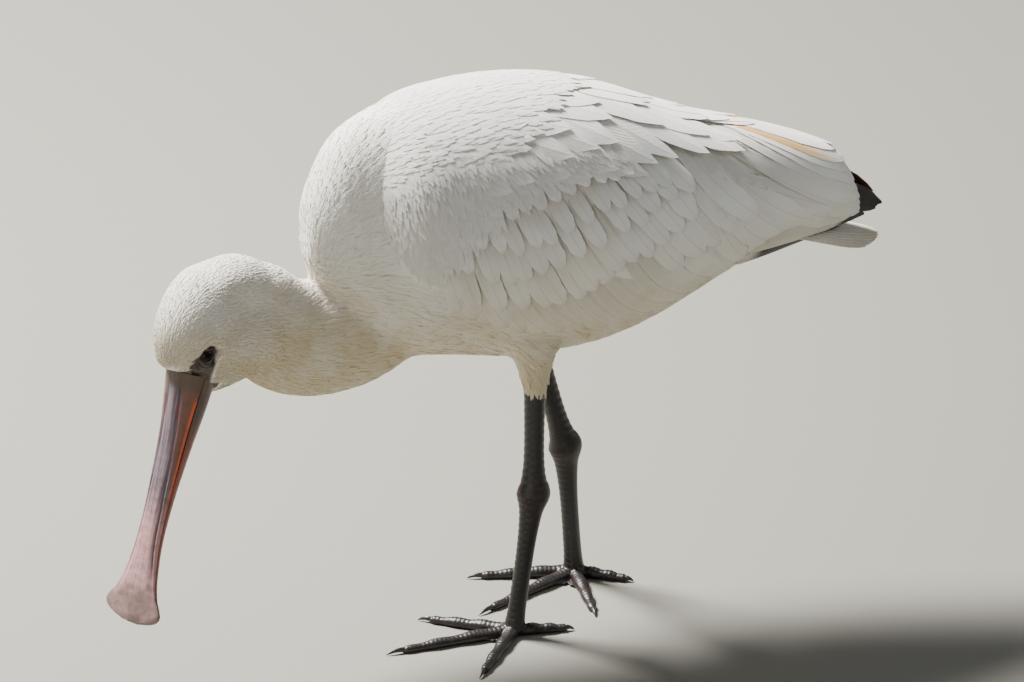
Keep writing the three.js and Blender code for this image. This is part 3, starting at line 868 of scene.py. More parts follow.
class Plumage:
    """Gathers feathers and makes them one mesh with its UV maps and attributes."""

    def __init__(self, name: str) -> None:
        """Start an empty gathering."""
        self.name = name
        self.points: list[Array] = []
        self.faces: list[Array] = []
        self.vane_uv: list[Array] = []
        self.root_uv: list[Array] = []
        self.marks: dict[str, list[Array]] = {key: [] for key in ("warmth", "dark", "tone", "buff")}
        self.count = 0

    def add(self, vane: Vane, points: Array, root_uv: Array, size: float, **marks: Array) -> None:
        """Add feathers that share one grid.

        Args:
            vane: The grid.
            points: Points of shape feathers, layers, rows, columns, 3, upper layer first.
            root_uv: Middle of each feather's patch in the root map.
            size: Width of that patch.
            **marks: Values of shape feathers, rows, columns, or of shape feathers.
        """
        shape = points.shape[:4]
        faces = vane.faces()
        starts = self.count + np.arange(shape[0]) * math.prod(shape[1:])
        self.faces.append((faces[None] + starts[:, None, None]).reshape(-1, faces.shape[1]))
        self.points.append(points.reshape(-1, 3))
        across = np.broadcast_to((np.array(vane.sides) + 1) / 2, shape)
        along = np.broadcast_to(np.array(vane.shares)[:, None], shape)
        grid = np.stack([across, along], -1)
        self.vane_uv.append(grid.reshape(-1, 2))
        self.root_uv.append((root_uv[:, None, None, None] + (grid - 0.5) * size).reshape(-1, 2))
        for key, store in self.marks.items():
            value = np.asarray(marks.get(key, 0.0), float)
            if value.ndim == 1:
                value = value[:, None, None]
            store.append(np.broadcast_to(value[:, None] if value.ndim else value, shape).ravel())
        self.count += math.prod(shape)

    def build(self) -> bpy.types.Object:
        """Make the mesh object."""
        piece = mesh_object(self.name, np.concatenate(self.points), np.concatenate(self.faces))
        set_uv(piece, "OFBake", np.concatenate(self.root_uv))
        set_uv(piece, "Vane", np.concatenate(self.vane_uv))
        for key, store in self.marks.items():
            set_attribute(piece, key, np.concatenate(store))
        select_only(piece)
        bpy.ops.object.shade_smooth_by_angle(angle=math.radians(50))
        return piece


def warmth_at(points: Array) -> Array:
    """Return how creamy the plumage is at bird-frame points, from white top to cream underside: part real
    stain, part painted shade and bounced light.
    """
    # Creamier lower down: part real stain, part painted shade and warm light bounced from below.
    low = 1 - ease(points[..., 2], 195, 335)
    front = 1 - ease(points[..., 0], -150, -60)
    ripple = 0.5 + 0.5 * np.sin(points[..., 0] * 0.11 + points[..., 1] * 0.17) * np.sin(points[..., 2] * 0.13)
    return np.clip(0.04 + 0.88 * low**1.3 + 0.14 * front + 0.07 * ripple, 0, 1)


# Wings and tail


@dataclass(frozen=True)
class Tract:
    """One row of wing feathers, from its front to its rear.

    Each station gives a tip's x and degrees from the top of the back, the feather's slant at its
    tip in degrees down from straight back, its length and its width.
    """

    count: int
    stations: tuple[tuple[float, ...], ...]
    lift: tuple[float, float]
    bend: float = 14.0
    vane: Vane = ROUND
    loose: float = 1.0


@dataclass(frozen=True)
class Patch:
    """A patch of soft scattered wing feathers.

    Each station gives x, the patch's upper and lower edges in degrees from the top of the back, the
    feathers' slant, their length and their width.
    """

    stations: tuple[tuple[float, ...], ...]
    lift: tuple[float, float]
    spacing: float
    draws: int = 5000


class FoldedWing:
    """One folded wing: a thin underlayer and rows of feathers over it."""

    sizes = Track(FOLDED_WINGS)
    edges = Track(WING_EDGES)
    tracts = {
        "primaries": Tract(7, (
            (206, 150, 4, 80, 19), (222, 149, 8, 100, 17), (233, 122, 10, 116, 16),
            (237, 104, 10, 118, 14), (237, 84, 6, 116, 12)), (-5.0, -0.9), 2.0),
        "tertials_low": Tract(9, (
            (126, 117, 46, 100, 22), (150, 108, 38, 108, 22), (172, 105, 24, 108, 21),
            (190, 107, 14, 112, 19), (206, 117, 10, 114, 17), (218, 116, 9, 116, 15)), (-4.6, 0.5), 44.0),
        "tertials_high": Tract(8, (
            (218, 107, 13, 118, 19), (218, 92, 16, 120, 21), (216, 76, 16, 120, 23),
            (214, 55, 13, 122, 24), (212, 34, 8, 122, 24), (205, 12, 4, 118, 24)), (-3.3, 0.6), 16.0),
        "secondaries": Tract(19, (
            (-84, 118, 62, 56, 17), (-56, 128, 50, 60, 17), (-20, 132, 40, 64, 18),
            (20, 134, 36, 68, 18), (60, 134, 34, 80, 18), (92, 129, 34, 96, 19),
            (114, 123, 38, 108, 20), (128, 117, 42, 112, 21)), (-5.4, -1.2), 28.0),
        "inner": Tract(5, (
            (76, 104, 44, 70, 20), (96, 100, 44, 76, 21), (116, 94, 42, 84, 22), (134, 86, 38, 88, 22)),
            (-4.6, -0.3), 22.0),
        "greater": Tract(16, (
            (-98, 106, 70, 40, 13), (-70, 117, 62, 44, 14), (-33, 115, 58, 47, 15),
            (-6, 113, 54, 48, 15.5), (16, 105, 50, 48, 15.5), (38, 97, 46, 50, 16),
            (62, 90, 46, 54, 17), (86, 78, 48, 62, 18)), (-4.6, 0.5), 10.0),
        "median": Tract(15, (
            (-106, 92, 74, 32, 11), (-84, 97, 70, 34, 12), (-56, 103, 64, 38, 13),
            (-36, 100, 60, 38, 13.5), (-15, 96, 56, 38, 14), (12, 88, 52, 38, 14),
            (42, 80, 46, 40, 14.5), (60, 72, 44, 44, 16), (86, 62, 40, 50, 17)), (-4.2, 0.8), 10.0),
        "small": Tract(15, (
            (-110, 82, 76, 26, 9), (-80, 87, 70, 28, 10), (-50, 90, 64, 30, 11),
            (-20, 85, 58, 30, 12), (10, 76, 52, 30, 12.5), (40, 68, 46, 34, 13),
            (68, 60, 38, 40, 14)), (-3.8, 0.9), 10.0),
        "least": Tract(13, (
            (-92, 72, 72, 24, 9), (-60, 75, 68, 26, 10), (-28, 71, 60, 28, 11), (8, 63, 52, 30, 12),
            (42, 57, 44, 34, 13)), (-3.4, 1.0), 10.0),
        "scapulars_low": Tract(7, (
            (-44, 62, 22, 60, 24), (-20, 60, 16, 66, 26), (10, 55, 10, 74, 28),
            (34, 56, 10, 78, 28), (56, 55, 12, 80, 26)), (-3.4, 0.9), 14.0, LONG, 3.0),
        "scapulars_long": Tract(8, (
            (-6, 46, 14, 70, 26), (20, 45, 14, 76, 27), (46, 45, 18, 80, 27),
            (72, 46, 22, 84, 26), (96, 42, 24, 86, 24), (118, 38, 24, 88, 21),
            (138, 41, 24, 90, 18)), (-3.2, 0.6), 14.0, LONG, 4.0),
        "scapulars_mid": Tract(6, (
            (-30, 36, 10, 66, 26), (10, 32, 10, 74, 27), (54, 29, 12, 82, 27),
            (96, 23, 12, 88, 25), (128, 22, 10, 90, 21)), (-2.8, 0.15), 14.0, LONG, 4.5),
        "scapulars_high": Tract(6, (
            (-36, 19, 8, 64, 26), (4, 16, 6, 72, 28), (50, 12, 6, 82, 28),
            (98, 7, 6, 88, 25), (134, 8, 5, 90, 21)), (-2.5, -0.2), 14.0, LONG, 4.5),
        "back": Tract(6, (
            (-46, 4, 2, 60, 22), (0, 2, 2, 68, 24), (48, 0, 1, 78, 25), (98, -1, 1, 84, 24),
            (146, 1, 1, 86, 20)), (-2.2, -0.4), 14.0, LONG, 4.5),
    }
    patches = (
        Patch((
            (-130, 64, 92, 76, 22, 5), (-110, 58, 106, 78, 26, 5.5), (-84, 56, 96, 74, 28, 6),
            (-56, 56, 80, 66, 26, 6.5), (-26, 55, 70, 58, 26, 7), (4, 50, 60, 48, 26, 8),
            (40, 49, 52, 36, 26, 9)), (-1.8, 0.6), 4.0),
        Patch((
            (-131, -4, 64, 10, 26, 6), (-90, -4, 62, 10, 30, 7), (-50, -4, 54, 8, 34, 8),
            (-10, -4, 34, 6, 38, 9), (20, -4, 8, 4, 40, 10)), (-0.8, 0.0), 4.0),
    )
    shell = {"outer": -4.2, "inner": -7.5, "edge": 9.0, "x": (-126.0, 204.0), "along": 60, "around": 40}
    vary = {"x": 1.6, "degrees": 1.2, "length": 0.06, "slant": 3.0, "width": 0.08, "lift": 0.25}

    def __init__(self, side: Side) -> None:
        """Choose the side and its own random numbers."""
        self.side = side
        self.random = np.random.default_rng(SEED + side.value)

    def surface(self, x: Array, degrees: Array, height: Array) -> Array:
        """Return bird-frame points on the folded wing's surface, or at a height above it."""
        middle, half_height, half_width = np.moveaxis(self.sizes(x), -1, 0)
        angle = np.radians(degrees)
        wide = np.maximum(half_width + height, 0.4)
        tall = np.maximum(half_height + height, 0.4)
        y = -self.side.value * wide * np.sin(angle)
        return np.stack([np.broadcast_to(x, y.shape), y, middle + tall * np.cos(angle)], -1)

    def reach(self, x: Array) -> Array:
        """Return how many millimetres one degree spans at each x."""
        _, tall, wide = np.moveaxis(self.sizes(x), -1, 0)
        return np.radians((tall + wide) / 2)

    def underlayer(self) -> tuple[Array, list]:
        """Return the closed sheet that the feathers stand on."""
        shell = self.shell
        x = np.linspace(*shell["x"], shell["along"])[:, None]
        upper, lower = np.moveaxis(self.edges(x), -1, 0)
        share = np.linspace(0, 1, shell["around"])[None]
        degrees = upper + 1 + (lower - shell["edge"] - upper - 1) * share
        taper = 1 - 0.8 * ease(x, 150, 204)
        inner_height = shell["outer"] + (shell["inner"] - shell["outer"]) * taper
        outer = self.surface(x + 0 * degrees, degrees, shell["outer"] + 0 * degrees)
        inner = self.surface(x + 0 * degrees, degrees, inner_height + 0 * degrees)
        rings = np.concatenate([outer, inner[:, ::-1]], 1)
        return loft(rings if self.side is Side.RIGHT else rings[:, ::-1])

    def grow(
        self, vane: Vane, tips: Array, lift: tuple[float, float], bend: float, loose: float = 1.0
    ) -> Array:
        """Return the points of feathers that lie on the wing.

        Args:
            vane: The feathers' grid.
            tips: Rows of tip x, tip degrees, slant, length and width.
            lift: Heights above the wing's surface at root and tip.
            bend: Degrees by which a feather is steeper at its root than at its tip.
            loose: How much the tips stray from their row.

        Returns:
            Points of shape feathers, 2, rows, columns, 3.
        """
        count, shares = len(tips), np.array(vane.shares)
        vary = lambda name: self.vary[name] * self.random.uniform(-1, 1, count)
        slant = tips[:, 2] + vary("slant")
        length = tips[:, 3] * (1 + vary("length"))
        width = tips[:, 4] * (1 + vary("width")) / 2
        place = np.stack([tips[:, 0] + loose * vary("x"), tips[:, 1] + loose * vary("degrees")])
        line = [place]
        heading = [np.radians(slant)]
        for high, low in zip(shares[::-1], shares[-2::-1]):
            angle = np.radians(slant + bend * (1 - (high + low) / 2))
            step = (high - low) * length
            reach = self.reach(place[0])
            place = place - np.stack([step * np.cos(angle), step * np.sin(angle) / reach])
            place[0] = np.maximum(place[0], -132)
            line.append(place)
            heading.append(np.radians(slant + bend * (1 - low)))
        center = np.array(line[::-1]).transpose(1, 2, 0)[..., None]
        angle = np.array(heading[::-1]).T[..., None]
        s, side = shares[None, :, None], np.array(vane.sides)[None, None, :]
        fray = self.random.uniform(0.86, 1.0, (count, len(shares), 2))
        ragged = np.where(side < 0, fray[..., :1], fray[..., 1:]) ** (4 * np.maximum(s - 0.5, 0))
        offset = side * np.array(vane.widths)[None, :, None] * width[:, None, None] * ragged
        x = np.minimum(center[0] - np.sin(angle) * offset, 246)
        across = center[1] + np.cos(angle) * offset / self.reach(x)
        across = np.clip(across, -9, 178)
        rise = lift[0] + (lift[1] - lift[0]) * s**1.1
        ridge = np.array(vane.ridges)[None, None, :] * (1 - 0.7 * s)
        stray = vary("lift")[:, None, None] * vane.thick / Vane.thick
        level = rise + vane.tilt * side * ease(s, 0, 0.4) + ridge + stray * s
        thick = vane.thick * (1 - 0.5 * s)
        grid = np.stack([self.surface(x, across, level), self.surface(x, across, level - thick)], 1)
        return grid[:, :, :, ::-1] if self.side is Side.LEFT else grid

    def row(self, name: str, tract: Tract, plumage: Plumage, cells: "Cells") -> None:
        """Add one row of feathers.

        Args:
            name: The row's name.
            tract: Its sizes.
            plumage: Where the feathers go.
            cells: Hands out patches of the root map.
        """
        stations = np.array(tract.stations, float)
        places = np.linspace(0, len(stations) - 1, tract.count)
        tips = Track(np.column_stack([np.arange(len(stations)), stations]))(places)
        grid = self.grow(tract.vane, tips, tract.lift, tract.bend, tract.loose)
        marks = self.markings(name, np.linspace(0, 1, tract.count), tract.vane, grid[:, 0])
        plumage.add(tract.vane, grid, cells.take(tract.count), cells.size, **marks)

    def scattered(self, patch: Patch) -> Array:
        """Return the tips of one patch of scattered feathers, as grow takes them."""
        stations = np.array(patch.stations, float)
        x = self.random.uniform(stations[0, 0], stations[-1, 0], patch.draws)
        upper, lower, slant, length, width = Track(stations)(x).T
        share = self.random.random(patch.draws)
        degrees = upper + (lower - upper) * share
        apart = spaced(self.surface(x, degrees, 0 * x), width / 8 * patch.spacing)
        tips = np.column_stack([x, degrees, slant + 9 * (share - 0.5), length, width])[apart]
        tips[:, 2] += self.random.normal(0, 4, len(tips))
        tips[:, 3] *= self.random.uniform(0.8, 1.15, len(tips))
        return tips

    def markings(self, name: str, share: Array, vane: Vane, points: Array) -> dict[str, Array]:
        """Return the colour marks of feathers.

        Args:
            name: The row's name.
            share: Each feather's place in its row, from 0 to 1.
            vane: The feathers' grid.
            points: Their upper points.

        Returns:
            Values for the attributes warmth, dark, buff and tone.
        """
        s = np.array(vane.shares)[None, :, None] + np.zeros(points.shape[:3])
        side = np.array(vane.sides)[None, None, :] * (-1 if self.side is Side.LEFT else 1)
        order = share[:, None, None]
        dark, buff = np.zeros((2, *points.shape[:3]))
        if name == "primaries":
            blacks = [ease(s, 0.02, 0.08), ease(s, 0.13, 0.18)]
            dark = np.select([order < 0.1, order < 0.2], blacks, ease(s, 0.78, 0.83))
        if name == "tertials_high":
            band = np.exp(-(((order - 0.857) / 0.05) ** 2))
            fading = 1 - 0.75 * ease(s, 0.7, 1.0)
            buff = band * ease(side, 0.1, 0.5) * ease(s, 0.05, 0.2) * fading
        # Painted shade: the rear of the wing is made a little creamier.
        shade = 0.08 * ease(points[..., 0], 60, 220)
        tone = self.random.random(len(points))
        return {"warmth": 1.05 * warmth_at(points) + shade, "dark": dark, "buff": buff, "tone": tone}

    def build(self, vane_paint: bpy.types.Material, down_paint: bpy.types.Material) -> None:
        """Make the wing's underlayer and feathers."""
        label = self.side.label
        core = mesh_object(f"{label}_wing_underlayer", *self.underlayer())
        select_only(core)
        bpy.ops.object.shade_smooth_by_angle(angle=math.radians(50))
        points = mesh_points(core)
        for key, value in (("warmth", warmth_at(points)), ("bare", np.zeros(len(points)))):
            set_attribute(core, key, value)
        add_piece(core, "flight_feathers", down_paint)
        plumage = Plumage(f"{label}_wing_feathers")
        patches = [self.scattered(patch) for patch in self.patches]
        rows = sum(tract.count for tract in self.tracts.values())
        cells = Cells(rows + sum(len(tips) for tips in patches))
        for name, tract in self.tracts.items():
            self.row(name, tract, plumage, cells)
        for patch, tips in zip(self.patches, patches):
            grid = self.grow(SOFT, tips, patch.lift, 4.0)
            marks = self.markings("", np.zeros(len(tips)), SOFT, grid[:, 0])
            plumage.add(SOFT, grid, cells.take(len(tips)), cells.size, **marks)
        add_piece(plumage.build(), "flight_feathers", vane_paint, f"{label}_wing")


class Cells:
    """Hands out square cells of a UV map, one to a feather."""

    def __init__(self, count: int) -> None:
        """Divide the map for a number of feathers."""
        self.side = math.ceil(math.sqrt(count))
        self.size = 0.92 / self.side
        self.next = 0

    def take(self, number: int) -> Array:
        """Return the middles of the next cells."""
        index = np.arange(self.next, self.next + number)
        self.next += number
        return np.stack([index % self.side + 0.5, index // self.side + 0.5], -1) / self.side


@dataclass
class Tail:
    """The closed tail: long feathers laid over one another, under the wing tips."""

    root: float = 128.0
    tip: float = 238.0
    heights: tuple[float, float] = (281.0, 251.0)
    arch: float = 0.005
    feathers: int = 12
    spacing: tuple[float, float] = (1.5, 3.3)
    width: float = 20.0
    step: float = 0.45

    def build(self, paint: bpy.types.Material) -> None:
        """Make the tail feathers and the coverts over their roots."""
        plumage = Plumage("tail_feathers")
        cells = Cells(self.feathers + 26)
        place = np.arange(self.feathers) - (self.feathers - 1) / 2
        self.row(plumage, cells, place, self.root, self.tip - 0.45 * place**2, self.width, 0.0)
        place = (np.arange(13) - 6) * 0.8
        for back, short, lift in ((22, 66, 1.8), (16, 62, -5.0)):
            tips = self.tip - short - 0.6 * place**2
            self.row(plumage, cells, place, self.root - back, tips, self.width * 0.8, lift)
        add_piece(plumage.build(), "flight_feathers", paint, "tail")

    def row(
        self, plumage: Plumage, cells: Cells, place: Array, root: float, tip: Array, width: float, lift: float
    ) -> None:
        """Add one fan of feathers.

        Args:
            plumage: Where the feathers go.
            cells: Hands out patches of the root map.
            place: Each feather's place from the middle.
            root: Where the roots are, along x.
            tip: Where each tip is, along x.
            width: Feather width.
            lift: Height above the fan's own level.
        """
        s, side = np.array(ROUND.shares)[None, :, None], np.array(ROUND.sides)[None, None]
        widths = np.array(ROUND.widths)[None, :, None]
        spot, tips = place[:, None, None], tip[:, None, None]
        x = root + (tips - root) * s + 0 * side
        y = spot * (self.spacing[0] + (self.spacing[1] - self.spacing[0]) * s) + side * widths * width / 2
        level = lift - self.step * np.abs(spot) - 0.3 * (spot > 0) + 0.25 * side * np.sign(spot)
        share = (x - self.root) / (self.tip - self.root)
        z = self.heights[0] + (self.heights[1] - self.heights[0]) * share - self.arch * y * y + level
        z = z + np.array(ROUND.ridges)[None, None] * (1 - 0.7 * s)
        top = np.stack([x, y, z], -1)
        grid = np.stack([top, top - np.array([0, 0, 0.4])], 1)[:, :, :, ::-1]
        dusk = 0.30 * ease(s + 0 * side + 0 * spot, 0.55, 1.0) if lift == 0 else 0.12 + 0 * z
        tone = 0.5 + 0.5 * np.sin(place * 7.3)
        plumage.add(ROUND, grid, cells.take(len(place)), cells.size, warmth=0.45 + dusk, tone=tone + 1.2)


# Body skin and small feathers


class Face:
    """Bare skin of the face, in the head frame."""

    @staticmethod
    def bare(points: Array) -> Array:
        """Return 1 where the face is bare and 0 where it is feathered.

        Args:
            points: Bird-frame points.

        Returns:
            A share for each point, soft over a millimetre or two.
        """
        up, forward, out = np.moveaxis(HeadFrame.place(points), -1, 0)
        around_eye = np.hypot(up - EYE.up - 0.5, (forward - EYE.forward) * 1.05)
        ring = 1 - ease(around_eye, 7.8, 9.2)
        back_edge = np.interp(up, [-6, 2, 12, 22], [-14, -7, -1.5, 1.5])
        front_edge = np.interp(up, [-2, 8, 16, 25], [14, 20, 21, 16])
        behind = 1 - ease(forward, back_edge - 1.2, back_edge + 1.2)
        before = ease(forward, front_edge - 1.2, front_edge + 1.2)
        lore = (1 - behind) * (1 - before) * (1 - ease(up, 22, 25)) * ease(np.abs(out), 6, 9)
        brow = 1.0 + 3.5 * ease(forward, 6, 16)
        band = 1 - ease(up, brow, brow + 2.0)
        near = (up > -12) & (up < 40) & (forward > -17)
        return np.where(near, np.maximum.reduce([ring, lore, band]), 0.0)


FLOW = np.array([
    # x, y, z of a place, and the direction in which its feathers lie
    (-291, -34, 232, 0.25, 0.1, 1.0), (-262, -20, 205, 0.8, 0.2, -0.3), (-272, -45, 240, 0.65, 0.15, 0.9),
    (-255, 10, 240, 0.65, 0.15, 0.9), (-285, -28, 262, 0.45, 0.15, 1.0), (-262, -18, 292, 0.95, 0.25, 0.35),
    (-240, -14, 300, 1.0, 0.2, 0.0), (-224, -10, 300, 1.0, 0.1, -0.12), (-246, -42, 262, 1.0, 0.25, 0.2),
    (-232, 14, 262, 1.0, 0.25, 0.2), (-242, -16, 212, 1.0, 0.2, 0.0), (-208, -34, 245, 1.0, 0.1, -0.15),
    (-208, 24, 245, 1.0, 0.1, -0.15), (-200, -6, 200, 1.0, 0.0, -0.2), (-190, -4, 274, 1.0, 0.0, 0.1),
    (-182, 0, 300, 0.15, 0.0, 1.0), (-186, 0, 284, 0.7, 0.0, 0.7), (-176, 0, 345, 0.35, 0.0, 1.0),
    (-158, 0, 378, 0.8, 0.0, 0.6),
    (-130, 0, 396, 1.0, 0.0, 0.15), (-160, -32, 320, 0.75, 0.0, 0.55), (-160, 32, 320, 0.75, 0.0, 0.55),
    (-165, -30, 250, 1.0, 0.0, 0.1), (-165, 30, 250, 1.0, 0.0, 0.1), (-150, 0, 185, 1.0, 0.0, -0.05),
    (-120, -50, 260, 1.0, 0.0, -0.1), (-120, 50, 260, 1.0, 0.0, -0.1), (-100, 0, 205, 1.0, 0.0, 0.0),
    (-60, 0, 402, 1.0, 0.0, 0.0), (40, 0, 382, 1.0, 0.0, -0.1), (120, 0, 335, 1.0, 0.0, -0.3),
    (-40, -50, 215, 1.0, 0.0, -0.25), (-40, 50, 215, 1.0, 0.0, -0.25), (0, 0, 197, 1.0, 0.0, 0.0),
    (60, 0, 208, 1.0, 0.0, 0.15), (110, 0, 232, 1.0, 0.0, 0.3), (60, -48, 240, 1.0, 0.0, 0.1),
    (60, 48, 240, 1.0, 0.0, 0.1), (-22, -44, 190, 0.15, 0.0, -1.0), (-22, -22, 188, 0.15, 0.0, -1.0),
    (-4, 40, 188, 0.25, 0.0, -1.0), (-4, 20, 186, 0.25, 0.0, -1.0), (150, 0, 262, 1.0, 0.0, 0.0),
])


def flow_at(points: Array) -> Array:
    """Return the direction in which feathers lie at bird-frame points."""
    gap = np.linalg.norm(points[:, None] - FLOW[None, :, :3], axis=-1)
    weight = 1 / (gap + 4.0) ** 3.5
    return unit(weight @ unit(FLOW[:, 3:]))


class Surface:
    """Finds the nearest place on a finished skin."""

    def __init__(self, piece: bpy.types.Object) -> None:
        """Keep the skin's points, and each face's mean normal."""
        normals = read(piece.data.vertices, "normal", 3)
        faces = [tuple(face.vertices) for face in piece.data.polygons]
        self.tree = BVHTree.FromPolygons(mesh_points(piece).tolist(), faces)
        self.normals = np.array([normals[list(face)].mean(0) for face in faces])

    def nearest(self, points: Array) -> tuple[Array, Array]:
        """Return the nearest skin points and their normals."""
        found = [self.tree.find_nearest(point) for point in points.tolist()]
        spots = np.array([hit[0] for hit in found])
        return spots, unit(self.normals[[hit[2] for hit in found]])


@dataclass
class Body:
    """The one skin of head, neck, trunk and thighs, and the small feathers all over it."""

    depth: float = 2.6
    voxel: float = 1.9
    thigh: tuple[float, float] = (21.0, 15.0)
    knee: tuple[float, float] = (15.0, 12.5)
    cuff: tuple[float, float] = (9.9, 9.4)
    bands = {
        "face_feathers": -999.0, "crown_feathers": -262.0, "nape_feathers": -238.0,
        "neck_feathers": -210.0, "throat_feathers": -172.0, "breast_feathers": -140.0,
        "belly_feathers": -60.0,
    }
    creases = (
        (-186, 0, 272, 26), (-228, -10, 285, 34), (-232, -12, 222, 24), (-232, -40, 256, 32),
        (-234, 12, 230, 26), (-224, 20, 262, 32), (-240, -36, 232, 26), (-120, 0, 200, 40), (-20, 0, 205, 45),
    )
    draws: int = 420000
    spacing: float = 0.14
    head_feather: float = 7.6
    face_shorter: float = 3.6
    neck_feather: float = 10.0
    belly_feather: float = 22.0
    thigh_feather: float = 11.0
    cuff_height: float = 182.0
    random: np.random.Generator = field(default_factory=lambda: np.random.default_rng(SEED))

    def trunk(self) -> tuple[Array, list]:
        """Return the trunk's body, inside the solid by the coat's depth."""
        sizes = Track(TRUNK)
        x = np.linspace(TRUNK[0, 0] + self.depth, TRUNK[-1, 0] - self.depth, 110)
        top, bottom, width = np.moveaxis(sizes(x), -1, 0)
        angle = np.linspace(0, 2 * np.pi, 72, endpoint=False)
        middle, tall = (top + bottom) / 2, (top - bottom) / 2 - self.depth
        y = (width - self.depth)[:, None] * np.sin(angle)
        z = middle[:, None] + tall[:, None] * np.cos(angle)
        return loft(np.stack([np.broadcast_to(x[:, None], y.shape), y, z], -1)[:, ::-1])

    def skin(self) -> bpy.types.Object:
        """Make the skin, with its attributes and its unwrap."""
        head = np.hstack([HeadFrame.point(HEAD[:, 0], HEAD[:, 1], 0 * HEAD[:, 0]), HEAD[:, 2:]])
        parts = [
            self.trunk(),
            limb(NECK, ACROSS_BODY, 56, 60, -self.depth),
            limb(head, HeadFrame.left, 64, 60, -1.3),
        ]
        parts += [limb(fill, ACROSS_BODY, 40, 24) for fill in (NAPE, CHEEKS, CHIN)]
        for leg in LEGS.values():
            hip, cuff = np.array(leg.hip), np.array(leg.cuff)
            stations = [(*hip, *self.thigh), (*(hip + cuff) / 2, *self.knee), (*cuff, *self.cuff)]
            parts.append(limb(np.array(stations, float), ACROSS_BODY, 32, 18, -2.2))
        piece = mesh_object("body_skin", *joined(parts))
        fuse(piece, self.voxel, 6, 0.5)
        self.soften(piece)
        self.shape_sockets(piece)
        points = mesh_points(piece)
        set_attribute(piece, "bare", Face.bare(points))
        set_attribute(piece, "warmth", warmth_at(points))
        select_only(piece)
        bpy.ops.object.mode_set(mode="EDIT")
        bpy.ops.mesh.select_all(action="SELECT")
        bpy.ops.uv.smart_project(angle_limit=math.radians(66), island_margin=0.004)
        bpy.ops.object.mode_set(mode="OBJECT")
        piece.data.uv_layers[0].name = "OFBake"
        return piece

    def soften(self, piece: bpy.types.Object) -> None:
        """Round off the creases where neck, head and trunk meet."""
        group = piece.vertex_groups.new(name="creases")
        points = mesh_points(piece)
        for x, y, z, reach in self.creases:
            near = np.linalg.norm((points - (x, y, z)) * (1, 0.5, 1), axis=1)
            for level in (0.25, 0.5, 0.75, 1.0):
                chosen = np.nonzero(near < reach * (1.25 - level))[0]
                group.add(chosen.tolist(), level, "REPLACE")
        select_only(piece)
        smooth = piece.modifiers.new("round", "SMOOTH")
        smooth.factor, smooth.iterations, smooth.vertex_group = 0.6, 90, group.name
        bpy.ops.object.modifier_apply(modifier=smooth.name)
        piece.vertex_groups.clear()

    def shape_sockets(self, piece: bpy.types.Object) -> None:
        """Sink the skin under each eyeball and dish it round the lids."""
        points = mesh_points(piece)
        up, forward, out = np.moveaxis(HeadFrame.place(points), -1, 0)
        ring = np.hypot(up - EYE.up, forward - EYE.forward)
        target = np.interp(ring, [0, 4.5, 6.5, 8.5, 14], [13, 14, 20.0, 21.6, 60])
        sunk = np.minimum(np.abs(out), target) * np.sign(out)
        near = ring < 14
        out = np.where(near, sunk, out)
        set_mesh_points(piece, np.where(near[:, None], HeadFrame.point(up, forward, out), points))

    def hidden(self, points: Array) -> Array:
        """Return where a folded wing covers the body."""
        wing = FoldedWing(Side.LEFT)
        middle, tall, wide = np.moveaxis(wing.sizes(points[:, 0]), -1, 0)
        upper, lower = np.moveaxis(wing.edges(points[:, 0]), -1, 0)
        degrees = np.degrees(np.arctan2(np.abs(points[:, 1]) / wide, (points[:, 2] - middle) / tall))
        return (points[:, 0] > -120) & (degrees > upper + 9) & (degrees < lower - 16)

    def roots(self, piece: bpy.types.Object, amount: int) -> tuple[Array, Array, Array]:
        """Draw places spread over the skin.

        Args:
            piece: The skin.
            amount: Number of places.

        Returns:
            Points, normals and unwrap coordinates.
        """
        mesh = piece.data
        mesh.calc_loop_triangles()
        corners, loops = (read(mesh.loop_triangles, name, 3, np.int32) for name in ("vertices", "loops"))
        normals = read(mesh.vertices, "normal", 3)
        uv = read(mesh.uv_layers["OFBake"].data, "uv", 2)
        sides = mesh_points(piece)[corners]
        area = np.linalg.norm(np.cross(sides[:, 1] - sides[:, 0], sides[:, 2] - sides[:, 0]), axis=1)
        chosen = self.random.choice(len(area), amount, p=area / area.sum())
        share = self.random.dirichlet((1, 1, 1), amount)[..., None]
        blend = lambda values: (values * share).sum(1)
        return blend(sides[chosen]), unit(blend(normals[corners[chosen]])), blend(uv[loops[chosen]])

    def coat(self, skin: bpy.types.Object, paint: bpy.types.Material) -> None:
        """Cover the skin with small overlapping feathers."""
        points, normals, uv = self.roots(skin, self.draws)
        x, y, z = points.T
        head = 1 - ease(x, -232, -196)
        thigh = (z < 205) & (x > -60) & (x < 30) & (np.abs(y) > 12)
        body = self.neck_feather + (self.belly_feather - self.neck_feather) * ease(x, -215, -60)
        size = self.head_feather * head + body * (1 - head)
        face = np.exp(-((np.linalg.norm(points - BILL_BASE, axis=1) / 34) ** 2))
        size = np.where(thigh, self.thigh_feather, size - self.face_shorter * face)
        up, forward, _ = HeadFrame.place(points).T
        clear = (Face.bare(points) < 0.9) & ~self.hidden(points) & (z > self.cuff_height) & (x < 152)
        clear &= np.hypot(up - EYE.up, forward - EYE.forward) > 8.0
        points, normals, uv, size, head = (value[clear] for value in (points, normals, uv, size, head))
        kept = spaced(points, size * self.spacing)
        points, normals, uv, size, head = (value[kept] for value in (points, normals, uv, size, head))
        surface = Surface(skin)
        for (name, start), end in zip(self.bands.items(), [*list(self.bands.values())[1:], 999.0]):
            chosen = (points[:, 0] >= start) & (points[:, 0] < end)
            plumage = Plumage(name)
            self.tufts(plumage, surface, *(value[chosen] for value in (points, normals, uv, size, head)))
            add_piece(plumage.build(), "body_plumage", paint)

